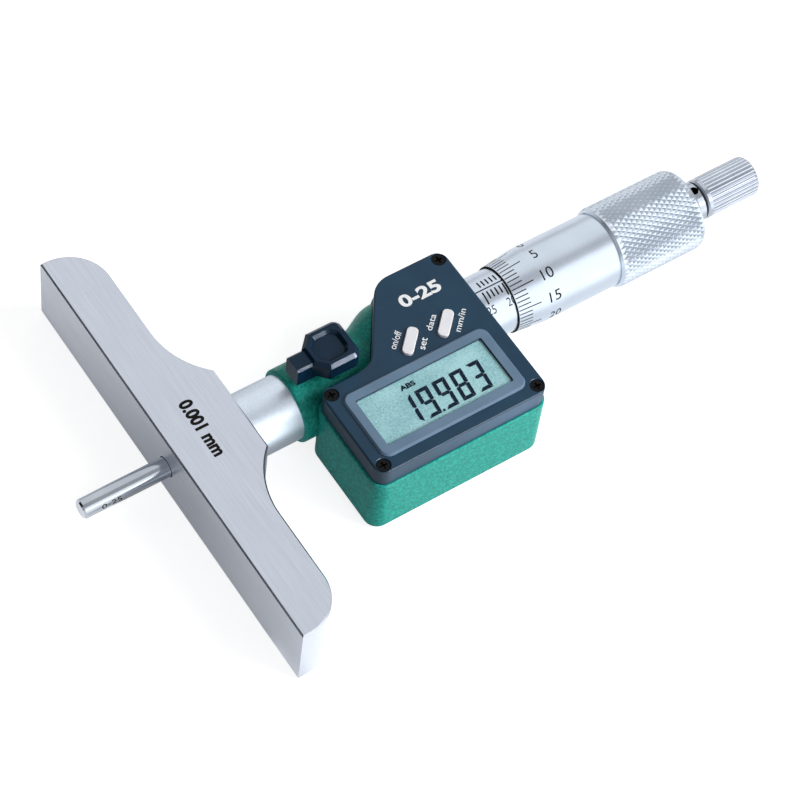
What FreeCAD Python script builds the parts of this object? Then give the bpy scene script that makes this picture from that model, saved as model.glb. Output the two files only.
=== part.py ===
"""Digital depth micrometer with a steel base, a green cast housing and a fluted ratchet knob.

The origin is the centre of the base's measuring face, on the spindle axis.
+X runs along the spindle to the ratchet, +Y across the base, +Z out of the display.
Lengths are millimetres and angles are degrees.
"""
import FreeCAD, Part
import math
import os
import Sketcher

os.makedirs("parts", exist_ok=True)
doc = FreeCAD.newDocument("depth_micrometer")
V = FreeCAD.Vector

SIZES = {
    # steel base
    "base_length": 101.6,
    "base_width": 17.4,
    "base_height": 11.0,
    "boss_rise": 6.3,
    "boss_half": 10.5,
    "base_end_radius": 9.5,
    "base_shoulder_radius": 19.5,
    "base_edge_break": 0.35,
    "rod_hole": 4.8,
    "shank_seat": 4.0,
    # measuring rod and spindle
    "rod_diameter": 4.4,
    "rod_reach": 19.98,
    "rod_tip_break": 0.4,
    "spindle_diameter": 7.4,
    "spindle_bore": 4.7,
    "spindle_front": 13.0,
    "thread_diameter": 8.5,
    "thread_start": 73.0,
    "keyway_width": 1.3,
    "keyway_depth": 0.8,
    "keyway_start": 37.5,
    "keyway_end": 65.5,
    "taper_start": 114.0,
    "shoulder_width": 1.2,
    "taper_length": 6.0,
    "taper_large": 10.4,
    "taper_small": 9.2,
    "stub_diameter": 7.8,
    "stub_length": 7.0,
    "rod_seat": 123.0,
    "rod_nut_thickness": 2.2,
    "rod_nut_diameter": 5.9,
    "running_fit": 0.03,
    "piece_gap": 0.3,
    # front sleeve between base and housing
    "sleeve_diameter": 14.66,
    "shank_diameter": 11.0,
    "housing_front": 28.4,
    "spigot_diameter": 12.4,
    "spigot_end": 44.0,
    "seal_thickness": 2.0,
    # cast housing
    "barrel_diameter": 16.5,
    "nose_break": 0.6,
    "drum_diameter": 22.4,
    "flare_start": 47.5,
    "flare_length": 5.9,
    "flare_radius": 8.0,
    "box_left": 31.0,
    "box_right": 73.3,
    "box_low": -30.0,
    "box_high": -6.0,
    "box_back": -9.2,
    "box_back_round": 0.8,
    "tower_top": 11.05,
    "slant_foot": 44.0,
    "slant_run": 8.0,
    "slant_rise": 11.4,
    "corner_radius": 3.1,
    "slant_top_radius": 6.5,
    "slant_foot_radius": 4.5,
    "split_plane": 7.0,
    "lip_round": 0.35,
    "housing_wall": 2.2,
    "housing_floor": 2.4,
    "bay_top": -10.4,
    "chamber_start": 55.5,
    "chamber_diameter": 15.6,
    "stator_step": 0.3,
    "stator_seat": 61.6,
    "rear_wall": 3.0,
    "rear_bore": 12.2,
    "pad_depth": 7.0,
    # rotary encoder
    "rotor_disc": 15.0,
    "rotor_disc_thickness": 1.2,
    "rotor_hub": 10.4,
    "stator_thickness": 1.0,
    "stator_bore": 9.0,
    "spacer_bore": 13.6,
    "key_place": 59.0,
    "key_side": 1.2,
    # cover and display
    "cover_inset": 0.45,
    "cover_wall": 1.8,
    "cover_height": 5.0,
    "cover_roof": 1.4,
    "cover_edge_round": 0.45,
    "notch_gap": 0.15,
    "gasket_inset": 0.6,
    "gasket_width": 1.3,
    "gasket_thickness": 0.3,
    "board_inset": 2.5,
    "board_thickness": 0.8,
    "board_above_split": 1.3,
    "display_x": 51.85,
    "display_y": -18.4,
    "bezel_length": 35.2,
    "bezel_width": 16.9,
    "bezel_corner": 2.2,
    "bezel_height": 0.55,
    "bezel_bevel": 0.4,
    "bezel_lip": 1.0,
    "window_length": 30.7,
    "window_width": 12.2,
    "window_corner": 0.5,
    "window_thickness": 0.5,
    "window_sunk": 0.1,
    "lcd_clearance": 0.1,
    "lcd_thickness": 0.9,
    "connector_width": 1.2,
    # buttons
    "button_length": 6.8,
    "button_width": 2.45,
    "button_corner": 1.0,
    "button_proud": 0.6,
    "button_flange": 0.6,
    "button_flange_thickness": 0.5,
    "button_travel": 0.5,
    "button_gap": 0.2,
    "button_turn": 45.0,
    "first_button_x": 54.3,
    "second_button_x": 63.1,
    "button_y": -5.65,
    "button_pad_thickness": 0.35,
    # cover screws
    "screw_inset": 2.4,
    "screw_head": 2.8,
    "screw_head_height": 1.0,
    "screw_shaft": 1.9,
    "screw_length": 8.2,
    "screw_recess": 3.1,
    "recess_edge_break": 0.12,
    "screw_sunk": 0.25,
    "cross_length": 1.7,
    "cross_width": 0.42,
    "cross_depth": 0.6,
    # lock lever
    "lock_x": 39.0,
    "lock_boss_diameter": 7.2,
    "lock_boss_top": 9.9,
    "lever_height": 5.6,
    "head_front": 3.9,
    "head_half": 4.95,
    "head_back": 3.6,
    "head_radius": 1.7,
    "neck_back": 6.3,
    "tail_half": 2.15,
    "tail_reach": 9.8,
    "tail_drop": 0.6,
    "tail_edge_break": 0.45,
    "lever_edge_break": 0.75,
    "lever_under_break": 1.4,
    "dish_margin": 2.15,
    "dish_slope": 0.65,
    "dish_depth": 0.8,
    "lock_screw_diameter": 3.8,
    "lock_screw_grip": 2.8,
    "shoe_diameter": 3.4,
    "shoe_height": 1.25,
    # graduated sleeve and threaded barrel
    "graduated_end": 102.5,
    "barrel_overhang": 5.0,
    "barrel_tube": 11.6,
    "barrel_relief": 9.2,
    "barrel_thread_length": 14.5,
    "barrel_flange": 15.2,
    "barrel_flange_thickness": 2.0,
    "slot_width": 0.6,
    "slot_length": 9.0,
    "nut_diameter": 13.8,
    "nut_length": 4.2,
    # thimble
    "thimble_front": 81.9,
    "thimble_edge": 15.35,
    "thimble_bore": 14.86,
    "cone_length": 7.4,
    "thimble_diameter": 17.0,
    "knurl_start": 108.0,
    "knurl_end": 130.1,
    "knurl_diameter": 18.1,
    "knurl_groove_width": 0.7,
    "knurl_groove_depth": 0.2,
    "knurl_front_break": 0.45,
    "knurl_rear_round": 0.5,
    "thimble_rear_bore": 10.0,
    # cap and ratchet
    "cap_start": 120.3,
    "cap_end": 134.2,
    "cap_diameter": 9.2,
    "cap_cavity": 6.4,
    "cap_cavity_end": 129.2,
    "tommy_hole": 2.0,
    "tommy_place": 132.85,
    "shaft_diameter": 4.0,
    "shaft_end": 145.0,
    "shaft_clip_groove": 0.8,
    "clip_thickness": 0.6,
    "knob_start": 134.6,
    "knob_end": 148.8,
    "knob_diameter": 9.2,
    "knob_collar": 1.2,
    "knob_end_round": 1.3,
    "flute_count": 34,
    "flute_radius": 0.34,
    "flute_rise": 0.1,
    "knob_cavity": 7.2,
    "knob_cavity_depth": 6.1,
    "wheel_diameter": 6.9,
    "wheel_thickness": 1.4,
    "wheel_teeth": 12,
    "tooth_depth": 0.5,
    "spring_wire": 0.45,
    "spring_turns": 3,
    # battery
    "battery_x": 45.0,
    "battery_y": -19.2,
    "battery_diameter": 11.6,
    "battery_height": 5.4,
    "battery_cap_diameter": 14.0,
    "battery_cap_thickness": 1.6,
    "battery_cap_plug": 0.7,
    "coin_slot_width": 1.3,
    "coin_slot_depth": 0.8,
    "coin_slot_length": 10.0,
    "well_diameter": 16.0,
    "well_roof": 1.2,
    "seal_cord": 0.55,
    "contact_thickness": 0.2,
    "contact_diameter": 7.0,
    "contact_post": 1.0,
}


class Size:
    """A length that carries its number together with the sheet expression it comes from."""

    def __init__(self, value, text):
        self.value = value
        self.text = text

    def _with(self, other, sign, result, swap=False):
        other = as_size(other)
        first, second = (other, self) if swap else (self, other)
        return Size(result(first.value, second.value), f"({first.text} {sign} {second.text})")

    def __add__(self, other):
        return self._with(other, "+", lambda a, b: a + b)

    def __radd__(self, other):
        return self._with(other, "+", lambda a, b: a + b, swap=True)

    def __sub__(self, other):
        return self._with(other, "-", lambda a, b: a - b)

    def __rsub__(self, other):
        return self._with(other, "-", lambda a, b: a - b, swap=True)

    def __mul__(self, other):
        return self._with(other, "*", lambda a, b: a * b)

    def __rmul__(self, other):
        return self._with(other, "*", lambda a, b: a * b, swap=True)

    def __truediv__(self, other):
        return self._with(other, "/", lambda a, b: a / b)

    def __neg__(self):
        return Size(-self.value, f"(0 - {self.text})")


def as_size(thing):
    """A Size as it is, or a plain number turned into one."""
    if isinstance(thing, Size):
        return thing
    return Size(float(thing), repr(float(thing)))


def root(size):
    """Square root of a Size."""
    return Size(math.sqrt(size.value), f"sqrt({size.text})")


def write_sheet(values):
    """Puts each driving dimension in a sheet row and returns the Sizes bound to those rows."""
    sheet = doc.addObject("Spreadsheet::Sheet", "sizes")
    bound = {}
    for row, (alias, number) in enumerate(values.items(), start=1):
        sheet.set(f"A{row}", alias)
        sheet.set(f"B{row}", str(number))
        sheet.setAlias(f"B{row}", alias)
        bound[alias] = Size(number, f"sizes.{alias}")
    doc.recompute()
    return bound


class Named:
    """Gives the driving dimensions as attributes."""

    def __init__(self, values):
        self.__dict__.update(values)


d = Named(write_sheet(SIZES))


# Drawing helpers

def new_body(name):
    """An empty body whose label names its file."""
    body = doc.addObject("PartDesign::Body", name)
    body.Label = name
    return body


def new_sketch(body, role, offset=None):
    """A sketch on one of the body's own origin planes, moved along the plane's normal."""
    sketch = body.newObject("Sketcher::SketchObject", body.Name + "_sketch")
    plane = next(item for item in body.Origin.OriginFeatures if item.Role == role)
    sketch.AttachmentSupport = (plane, [""])
    sketch.MapMode = "FlatFace"
    if offset is not None:
        sketch.setExpression(".AttachmentOffset.Base.z", as_size(offset).text)
    return sketch


def constrain(sketch, size, *args):
    """Adds one driving constraint bound to its expression."""
    size = as_size(size)
    index = sketch.addConstraint(Sketcher.Constraint(*args, size.value))
    sketch.setExpression(f"Constraints[{index}]", size.text)


def place_point(sketch, geometry, end, x, y):
    """Fixes one point of a geometry by its distances from the sketch's origin."""
    constrain(sketch, x, "DistanceX", -1, 1, geometry, end)
    constrain(sketch, y, "DistanceY", -1, 1, geometry, end)


def arc_between(start, end, radius):
    """The short arc from start to end; a positive radius keeps its centre on the left."""
    chord = end - start
    half = chord.Length / 2
    across = V(-chord.y, chord.x, 0).normalize()
    reach = math.sqrt(max(radius * radius - half * half, 0.0))
    centre = start + chord * 0.5 + across * math.copysign(reach, radius)
    turn_left = radius > 0
    first, last = (start, end) if turn_left else (end, start)
    angles = [math.atan2(point.y - centre.y, point.x - centre.x) for point in (first, last)]
    circle = Part.Circle(centre, V(0, 0, 1), abs(radius))
    return Part.ArcOfCircle(circle, angles[0], angles[1]), turn_left


def draw_loop(sketch, corners):
    """Closed outline of lines and arcs through (x, y) or (x, y, radius of the next stretch)."""
    points = [V(as_size(corner[0]).value, as_size(corner[1]).value, 0) for corner in corners]
    ends = []
    for index, corner in enumerate(corners):
        start = points[index]
        end = points[(index + 1) % len(points)]
        if len(corner) == 3:
            radius = as_size(corner[2])
            shape, turn_left = arc_between(start, end, radius.value)
            geometry = sketch.addGeometry(shape)
            ends.append((geometry, 1, 2) if turn_left else (geometry, 2, 1))
            size = radius if radius.value > 0 else -radius
            constrain(sketch, size, "Radius", geometry)
        else:
            geometry = sketch.addGeometry(Part.LineSegment(start, end))
            ends.append((geometry, 1, 2))
    for index, corner in enumerate(corners):
        geometry, first, last = ends[index]
        following, following_first, _ = ends[(index + 1) % len(ends)]
        sketch.addConstraint(Sketcher.Constraint("Coincident", geometry, last, following, following_first))
        place_point(sketch, geometry, first, corner[0], corner[1])


def draw_circle(sketch, x, y, diameter):
    """One circle at a place, sized by its diameter."""
    centre = V(as_size(x).value, as_size(y).value, 0)
    geometry = sketch.addGeometry(Part.Circle(centre, V(0, 0, 1), as_size(diameter).value / 2))
    place_point(sketch, geometry, 3, x, y)
    constrain(sketch, diameter, "Diameter", geometry)


def box_corners(x, y, length, width):
    """Corners of a rectangle about a centre."""
    return [(x - length / 2, y - width / 2), (x + length / 2, y - width / 2),
            (x + length / 2, y + width / 2), (x - length / 2, y + width / 2)]


def rounded_box(x, y, length, width, radius):
    """Corners of a rectangle about a centre, with round corners."""
    left, right = x - length / 2, x + length / 2
    low, high = y - width / 2, y + width / 2
    return [(left + radius, low), (right - radius, low, radius),
            (right, low + radius), (right, high - radius, radius),
            (right - radius, high), (left + radius, high, radius),
            (left, high - radius), (left, low + radius, radius)]


def ring_corners(start, end, outer, inner):
    """Half section of a plain tube between two stations, from its diameters."""
    return [(start, inner / 2), (end, inner / 2), (end, outer / 2), (start, outer / 2)]


def feature(body, kind, sketch, **sizes):
    """One sketch-based feature with its sizes bound to expressions."""
    item = body.newObject("PartDesign::" + kind, f"{body.Name}_{kind.lower()}")
    item.Profile = sketch
    for name, value in sizes.items():
        if isinstance(value, Size):
            item.setExpression(name, value.text)
        else:
            setattr(item, name, value)
    sketch.Visibility = False
    return item


def revolve(body, corners, kind="Revolution", axis="H_Axis", role="XZ_Plane", offset=None):
    """Turns a closed half section about one of the sketch's axes, as material or as a cut."""
    sketch = new_sketch(body, role, offset)
    draw_loop(sketch, corners)
    item = feature(body, kind, sketch, Angle=360.0)
    item.ReferenceAxis = (sketch, [axis])
    return item


def turned(name, *sections):
    """A body turned about the spindle axis from one or more half sections."""
    body = new_body(name)
    for corners in sections:
        revolve(body, corners)
    return body


def pad(body, draw, length, offset=None, role="XY_Plane", **options):
    """Extrudes what draw puts in a new sketch."""
    sketch = new_sketch(body, role, offset)
    draw(sketch)
    return feature(body, "Pad", sketch, Length=as_size(length), **options)


def pocket(body, draw, length=None, offset=None, role="XY_Plane", **options):
    """Cuts what draw puts in a new sketch, to a depth or through everything."""
    sketch = new_sketch(body, role, offset)
    draw(sketch)
    if length is None:
        return feature(body, "Pocket", sketch, Type=1, **options)
    return feature(body, "Pocket", sketch, Length=as_size(length), **options)


def soften(body, kind, size, wanted):
    """Fillets or chamfers the edges of the tip that a test picks."""
    doc.recompute()
    tip = body.Tip
    names = [f"Edge{index}" for index, edge in enumerate(tip.Shape.Edges, start=1) if wanted(edge)]
    item = body.newObject("PartDesign::" + kind, f"{body.Name}_{kind.lower()}")
    item.Base = (tip, names)
    item.setExpression("Radius" if kind == "Fillet" else "Size", as_size(size).text)
    return item


def all_at(edge, axis, place):
    """True for an edge whose ends and middle all lie on one level of an axis."""
    middle = edge.valueAt((edge.FirstParameter + edge.LastParameter) / 2)
    spots = [vertex.Point for vertex in edge.Vertexes] + [middle]
    return all(abs(spot[axis] - as_size(place).value) < 1e-4 for spot in spots)


def polar(body, source, count):
    """Repeats one feature round the spindle axis."""
    pattern = body.newObject("PartDesign::PolarPattern", body.Name + "_pattern")
    pattern.Originals = [source]
    sketch = source.Profile[0]
    pattern.Axis = (sketch, ["H_Axis"])
    pattern.Angle = 360.0
    pattern.setExpression("Occurrences", as_size(count).text)
    body.Tip = pattern
    return pattern


# Derived stations and levels

boss_face = d.base_height + d.boss_rise
cover_top = d.split_plane + d.cover_height
roof_under = cover_top - d.cover_roof
board_low = d.split_plane + d.board_above_split
board_top = board_low + d.board_thickness
spindle_shoulder = d.taper_start - d.shoulder_width
barrel_end = d.graduated_end + d.barrel_overhang
taper_end = d.taper_start + d.taper_length
stub_end = taper_end + d.stub_length
chamber_end = d.box_right - d.rear_wall
stator_pocket = d.chamber_diameter + 2 * d.stator_step
floor_top = d.box_back + d.housing_floor
cell_low = d.box_back + d.battery_cap_thickness + d.battery_cap_plug
cell_top = cell_low + d.battery_height
well_ceiling = cell_top + d.contact_thickness
well_top = well_ceiling + d.well_roof
lever_low = d.lock_boss_top + d.piece_gap
lever_top = lever_low + d.lever_height
screw_top = cover_top - d.screw_sunk
screw_spots = [
    (d.box_left + d.screw_inset, d.box_low + d.screw_inset),
    (d.box_right - d.screw_inset, d.box_low + d.screw_inset),
    (d.box_right - d.screw_inset, d.tower_top - d.screw_inset),
    (d.box_left + d.screw_inset, d.box_high - d.screw_inset),
]
boss_spots = [
    (d.box_left + d.corner_radius, d.box_low + d.corner_radius),
    (d.box_right - d.corner_radius, d.box_low + d.corner_radius),
    (d.box_right - d.corner_radius, d.tower_top - d.corner_radius),
    (d.box_left + d.corner_radius, d.box_high - d.corner_radius),
]
button_spots = [(d.first_button_x, d.button_y), (d.second_button_x, d.button_y)]
slant_length = root(d.slant_run * d.slant_run + d.slant_rise * d.slant_rise)
slant_cot = d.slant_run / d.slant_rise
slant_shift = slant_length / d.slant_rise
slant_turn = (slant_length - d.slant_run) / d.slant_rise


def panel_outline(inset):
    """The L-shaped plan of the display box and its tower, drawn in by an inset."""
    left, right = d.box_left + inset, d.box_right - inset
    low, high, top = d.box_low + inset, d.box_high - inset, d.tower_top - inset
    corner = d.corner_radius - inset
    shoulder = d.slant_top_radius - inset
    crook = d.slant_foot_radius + inset
    foot_x = d.slant_foot + inset * (slant_shift - slant_cot)
    peak_x = foot_x + (top - high) * slant_cot
    foot_back = crook * slant_turn
    peak_back = shoulder * slant_turn
    run = d.slant_run / slant_length
    rise = d.slant_rise / slant_length
    return [
        (left + corner, low), (right - corner, low, corner),
        (right, low + corner), (right, top - corner, corner),
        (right - corner, top), (peak_x + peak_back, top, shoulder),
        (peak_x - peak_back * run, top - peak_back * rise),
        (foot_x + foot_back * run, high + foot_back * rise, -crook),
        (foot_x - foot_back, high), (left + corner, high, corner),
        (left, high - corner), (left, low + corner, corner),
    ]


# Base

def make_base():
    """Ground steel block with a raised boss that holds the front sleeve."""
    body = new_body("base")
    half = d.base_length / 2
    end = d.base_end_radius
    shoulder = d.base_shoulder_radius
    inner = shoulder - d.boss_rise
    tangent = d.boss_half + root(shoulder * shoulder - inner * inner)
    top = d.base_height

    def profile(sketch):
        draw_loop(sketch, [
            (0, -half), (top - end, -half, end), (top, end - half), (top, -tangent, -shoulder),
            (boss_face, -d.boss_half), (boss_face, d.boss_half, -shoulder),
            (top, tangent), (top, half - end, end), (top - end, half), (0, half),
        ])

    pad(body, profile, d.base_width, Midplane=True)
    level = d.base_width / 2
    soften(body, "Chamfer", d.base_edge_break,
           lambda edge: all_at(edge, 2, level) or all_at(edge, 2, -level))
    bore = new_sketch(body, "YZ_Plane")
    draw_circle(bore, 0, 0, d.rod_hole)
    feature(body, "Pocket", bore, Type=1, Midplane=True)
    seat = new_sketch(body, "YZ_Plane", d.shank_seat)
    draw_circle(seat, 0, 0, d.shank_diameter)
    feature(body, "Pocket", seat, Length=boss_face - d.shank_seat, Reversed=True)
    return body


def make_front_sleeve():
    """Turned sleeve that joins base and housing and guides the spindle."""
    seat = d.shank_seat + d.seal_thickness + d.piece_gap
    bore = d.spindle_diameter / 2 + d.running_fit
    outer = d.sleeve_diameter / 2
    rim = d.base_edge_break
    body = turned("front_sleeve", [
        (seat, bore), (d.spigot_end, bore), (d.spigot_end, d.spigot_diameter / 2),
        (d.housing_front, d.spigot_diameter / 2), (d.housing_front, outer),
        (boss_face + rim, outer), (boss_face, outer - rim), (boss_face, d.shank_diameter / 2),
        (seat, d.shank_diameter / 2),
    ])
    hole = new_sketch(body, "XY_Plane")
    draw_circle(hole, d.lock_x, 0, d.lock_screw_diameter)
    feature(body, "Pocket", hole, Type=1, Reversed=True)
    return body


def make_rod_seal():
    """Rubber ring that wipes the rod behind the measuring face."""
    start = d.shank_seat
    return turned("rod_seal", ring_corners(start, start + d.seal_thickness, d.shank_diameter,
                                           d.rod_diameter + 2 * d.running_fit))


# Spindle group

def make_spindle():
    """Hollow spindle with keyway, thread, thimble taper and rear stub."""
    plain = d.spindle_diameter / 2
    thread = d.thread_diameter / 2
    bore = d.spindle_bore / 2
    rim = d.base_edge_break
    body = turned("spindle", [
        (d.spindle_front, bore), (d.rod_seat, bore), (d.rod_seat, d.cap_cavity / 2),
        (stub_end, d.cap_cavity / 2), (stub_end, d.stub_diameter / 2),
        (taper_end, d.stub_diameter / 2), (taper_end, d.taper_small / 2),
        (d.taper_start, d.taper_large / 2), (spindle_shoulder, d.taper_large / 2),
        (spindle_shoulder, thread), (d.thread_start, thread), (d.thread_start, plain),
        (d.spindle_front + rim, plain), (d.spindle_front, plain - rim),
    ])
    length = d.keyway_end - d.keyway_start
    middle = (d.keyway_end + d.keyway_start) / 2

    def slot(sketch):
        draw_loop(sketch, box_corners(middle, as_size(0), length, d.keyway_width))

    pocket(body, slot, d.keyway_depth, offset=-plain, Reversed=True)
    return body


def make_measuring_rod():
    """Interchangeable rod that runs through the hollow spindle."""
    radius = d.rod_diameter / 2
    rim = d.rod_tip_break
    tip = -d.rod_reach
    end = d.rod_seat + 2 * d.rod_nut_thickness + d.rod_tip_break
    return turned("measuring_rod", [
        (tip, 0), (end, 0), (end, radius), (tip + rim, radius), (tip, radius - rim),
    ])


def make_rod_nuts():
    """Two thin nuts that set the rod's length, locked against each other."""
    start = d.rod_seat
    step = d.rod_nut_thickness
    slit = 0.5 * d.rod_tip_break
    return turned("rod_nuts",
                  ring_corners(start, start + step - slit, d.rod_nut_diameter, d.rod_diameter),
                  ring_corners(start + step, start + 2 * step, d.rod_nut_diameter, d.rod_diameter))


def make_thimble():
    """Thimble with a bevelled scale edge, a plain barrel and a larger grip."""
    bore = d.thimble_bore / 2
    plain = d.thimble_diameter / 2
    grip = d.knurl_diameter / 2
    groove = d.knurl_start - d.knurl_groove_width
    deep = plain - d.knurl_groove_depth
    rear = d.knurl_rear_round
    return turned("thimble", [
        (d.thimble_front, bore), (d.taper_start, bore), (d.taper_start, d.taper_large / 2),
        (taper_end, d.taper_small / 2), (taper_end, d.thimble_rear_bore / 2),
        (d.knurl_end, d.thimble_rear_bore / 2), (d.knurl_end, grip - rear, rear),
        (d.knurl_end - rear, grip), (d.knurl_start + d.knurl_front_break, grip),
        (d.knurl_start, grip - d.knurl_front_break), (d.knurl_start, deep), (groove, deep),
        (groove, plain), (d.thimble_front + d.cone_length, plain),
        (d.thimble_front, d.thimble_edge / 2),
    ])


def make_thimble_cap():
    """Rear cap that holds the rod, with a hole for a tommy bar and the ratchet's shaft."""
    stub = d.stub_diameter / 2 + d.running_fit
    cavity = d.cap_cavity / 2
    outer = d.cap_diameter / 2
    shaft = d.shaft_diameter / 2
    rim = d.base_edge_break
    groove_end = d.shaft_end - d.shaft_clip_groove
    groove = groove_end - d.shaft_clip_groove
    neck = shaft - d.running_fit - d.rod_tip_break
    body = turned("thimble_cap", [
        (d.cap_start, stub), (stub_end + rim, stub), (stub_end + rim, cavity),
        (d.cap_cavity_end, cavity), (d.cap_cavity_end, 0), (d.shaft_end, 0), (d.shaft_end, shaft),
        (groove_end, shaft), (groove_end, neck), (groove, neck), (groove, shaft),
        (d.cap_end, shaft), (d.cap_end, outer - rim), (d.cap_end - rim, outer), (d.cap_start, outer),
    ])
    hole = new_sketch(body, "XY_Plane")
    draw_circle(hole, d.tommy_place, 0, d.tommy_hole)
    feature(body, "Pocket", hole, Type=1, Midplane=True)
    return body


# Ratchet

wheel_start = d.cap_end
wheel_end = wheel_start + d.wheel_thickness


def make_ratchet_wheel():
    """Toothed ring fixed to the cap, with saw teeth on its rear face."""
    body = turned("ratchet_wheel",
                  ring_corners(wheel_start, wheel_end, d.wheel_diameter, d.shaft_diameter))
    radius = d.wheel_diameter / 2
    pitch = math.pi * d.wheel_diameter / d.wheel_teeth

    def gash(sketch):
        draw_loop(sketch, [
            (wheel_end - d.tooth_depth, 0), (wheel_end, 0), (wheel_end, pitch / 2),
        ])

    cut = pocket(body, gash, radius, offset=radius)
    polar(body, cut, d.wheel_teeth)
    return body


def make_ratchet_knob():
    """Hollow knob with straight flutes that slips on the shaft at the set torque."""
    start = d.knob_start
    radius = d.knob_diameter / 2
    shaft = d.shaft_diameter / 2 + d.running_fit
    cavity = d.knob_cavity / 2
    floor = start + d.knob_cavity_depth
    clip_room = d.shaft_end + d.piece_gap
    clip_start = d.shaft_end - 2 * d.shaft_clip_groove - d.running_fit
    rim = d.base_edge_break
    end_round = d.knob_end_round
    body = turned("ratchet_knob", [
        (start, cavity), (floor, cavity), (floor, shaft), (clip_start, shaft), (clip_start, cavity),
        (clip_room, cavity), (clip_room, 0), (d.knob_end, 0), (d.knob_end, radius - end_round, end_round),
        (d.knob_end - end_round, radius), (start + rim, radius), (start, radius - rim),
    ])
    flutes = new_sketch(body, "YZ_Plane", start + d.knob_collar)
    draw_circle(flutes, radius + d.flute_rise, 0, 2 * d.flute_radius)
    cut = feature(body, "Pocket", flutes, Length=d.knob_end - start, Reversed=True)
    pattern = body.newObject("PartDesign::PolarPattern", "ratchet_knob_pattern")
    pattern.Originals = [cut]
    pattern.Axis = (flutes, ["N_Axis"])
    pattern.Angle = 360.0
    pattern.setExpression("Occurrences", d.flute_count.text)
    body.Tip = pattern
    return body


def make_ratchet_pawl():
    """Ring that slides in the knob and clicks over the wheel's teeth."""
    start = wheel_end + d.running_fit
    return turned("ratchet_pawl", ring_corners(start, start + d.wheel_thickness / 2,
                                               d.wheel_diameter, d.shaft_diameter + 2 * d.tooth_depth))


def make_ratchet_spring():
    """Coil spring between the pawl ring and the knob's floor."""
    wire = d.spring_wire.value
    start = wheel_end.value + d.running_fit.value + d.wheel_thickness.value / 2
    room = d.knob_start.value + d.knob_cavity_depth.value - start
    pitch = (room - wire) / d.spring_turns.value
    radius = (d.wheel_diameter.value - wire) / 2 - d.rod_tip_break.value / 2
    helix = Part.makeHelix(pitch, pitch * d.spring_turns.value, radius)
    section = Part.Wire([Part.makeCircle(wire / 2, V(radius, 0, 0), V(0, 1, 0))])
    coil = Part.Wire(helix.Edges).makePipeShell([section], True, True)
    spring = doc.addObject("Part::Feature", "ratchet_spring")
    spring.Shape = coil
    spring.Label = "ratchet_spring"
    spring.Placement = FreeCAD.Placement(V(start + wire / 2, 0, 0), FreeCAD.Rotation(V(0, 1, 0), 90))
    return spring


def make_shaft_clip():
    """Clip in the shaft's groove that keeps the knob on."""
    start = d.shaft_end - 2 * d.shaft_clip_groove
    inner = d.shaft_diameter - 2 * d.rod_tip_break
    return turned("shaft_clip", ring_corners(start, start + d.clip_thickness,
                                             d.knob_cavity - 2 * d.piece_gap, inner))


# Housing

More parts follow.
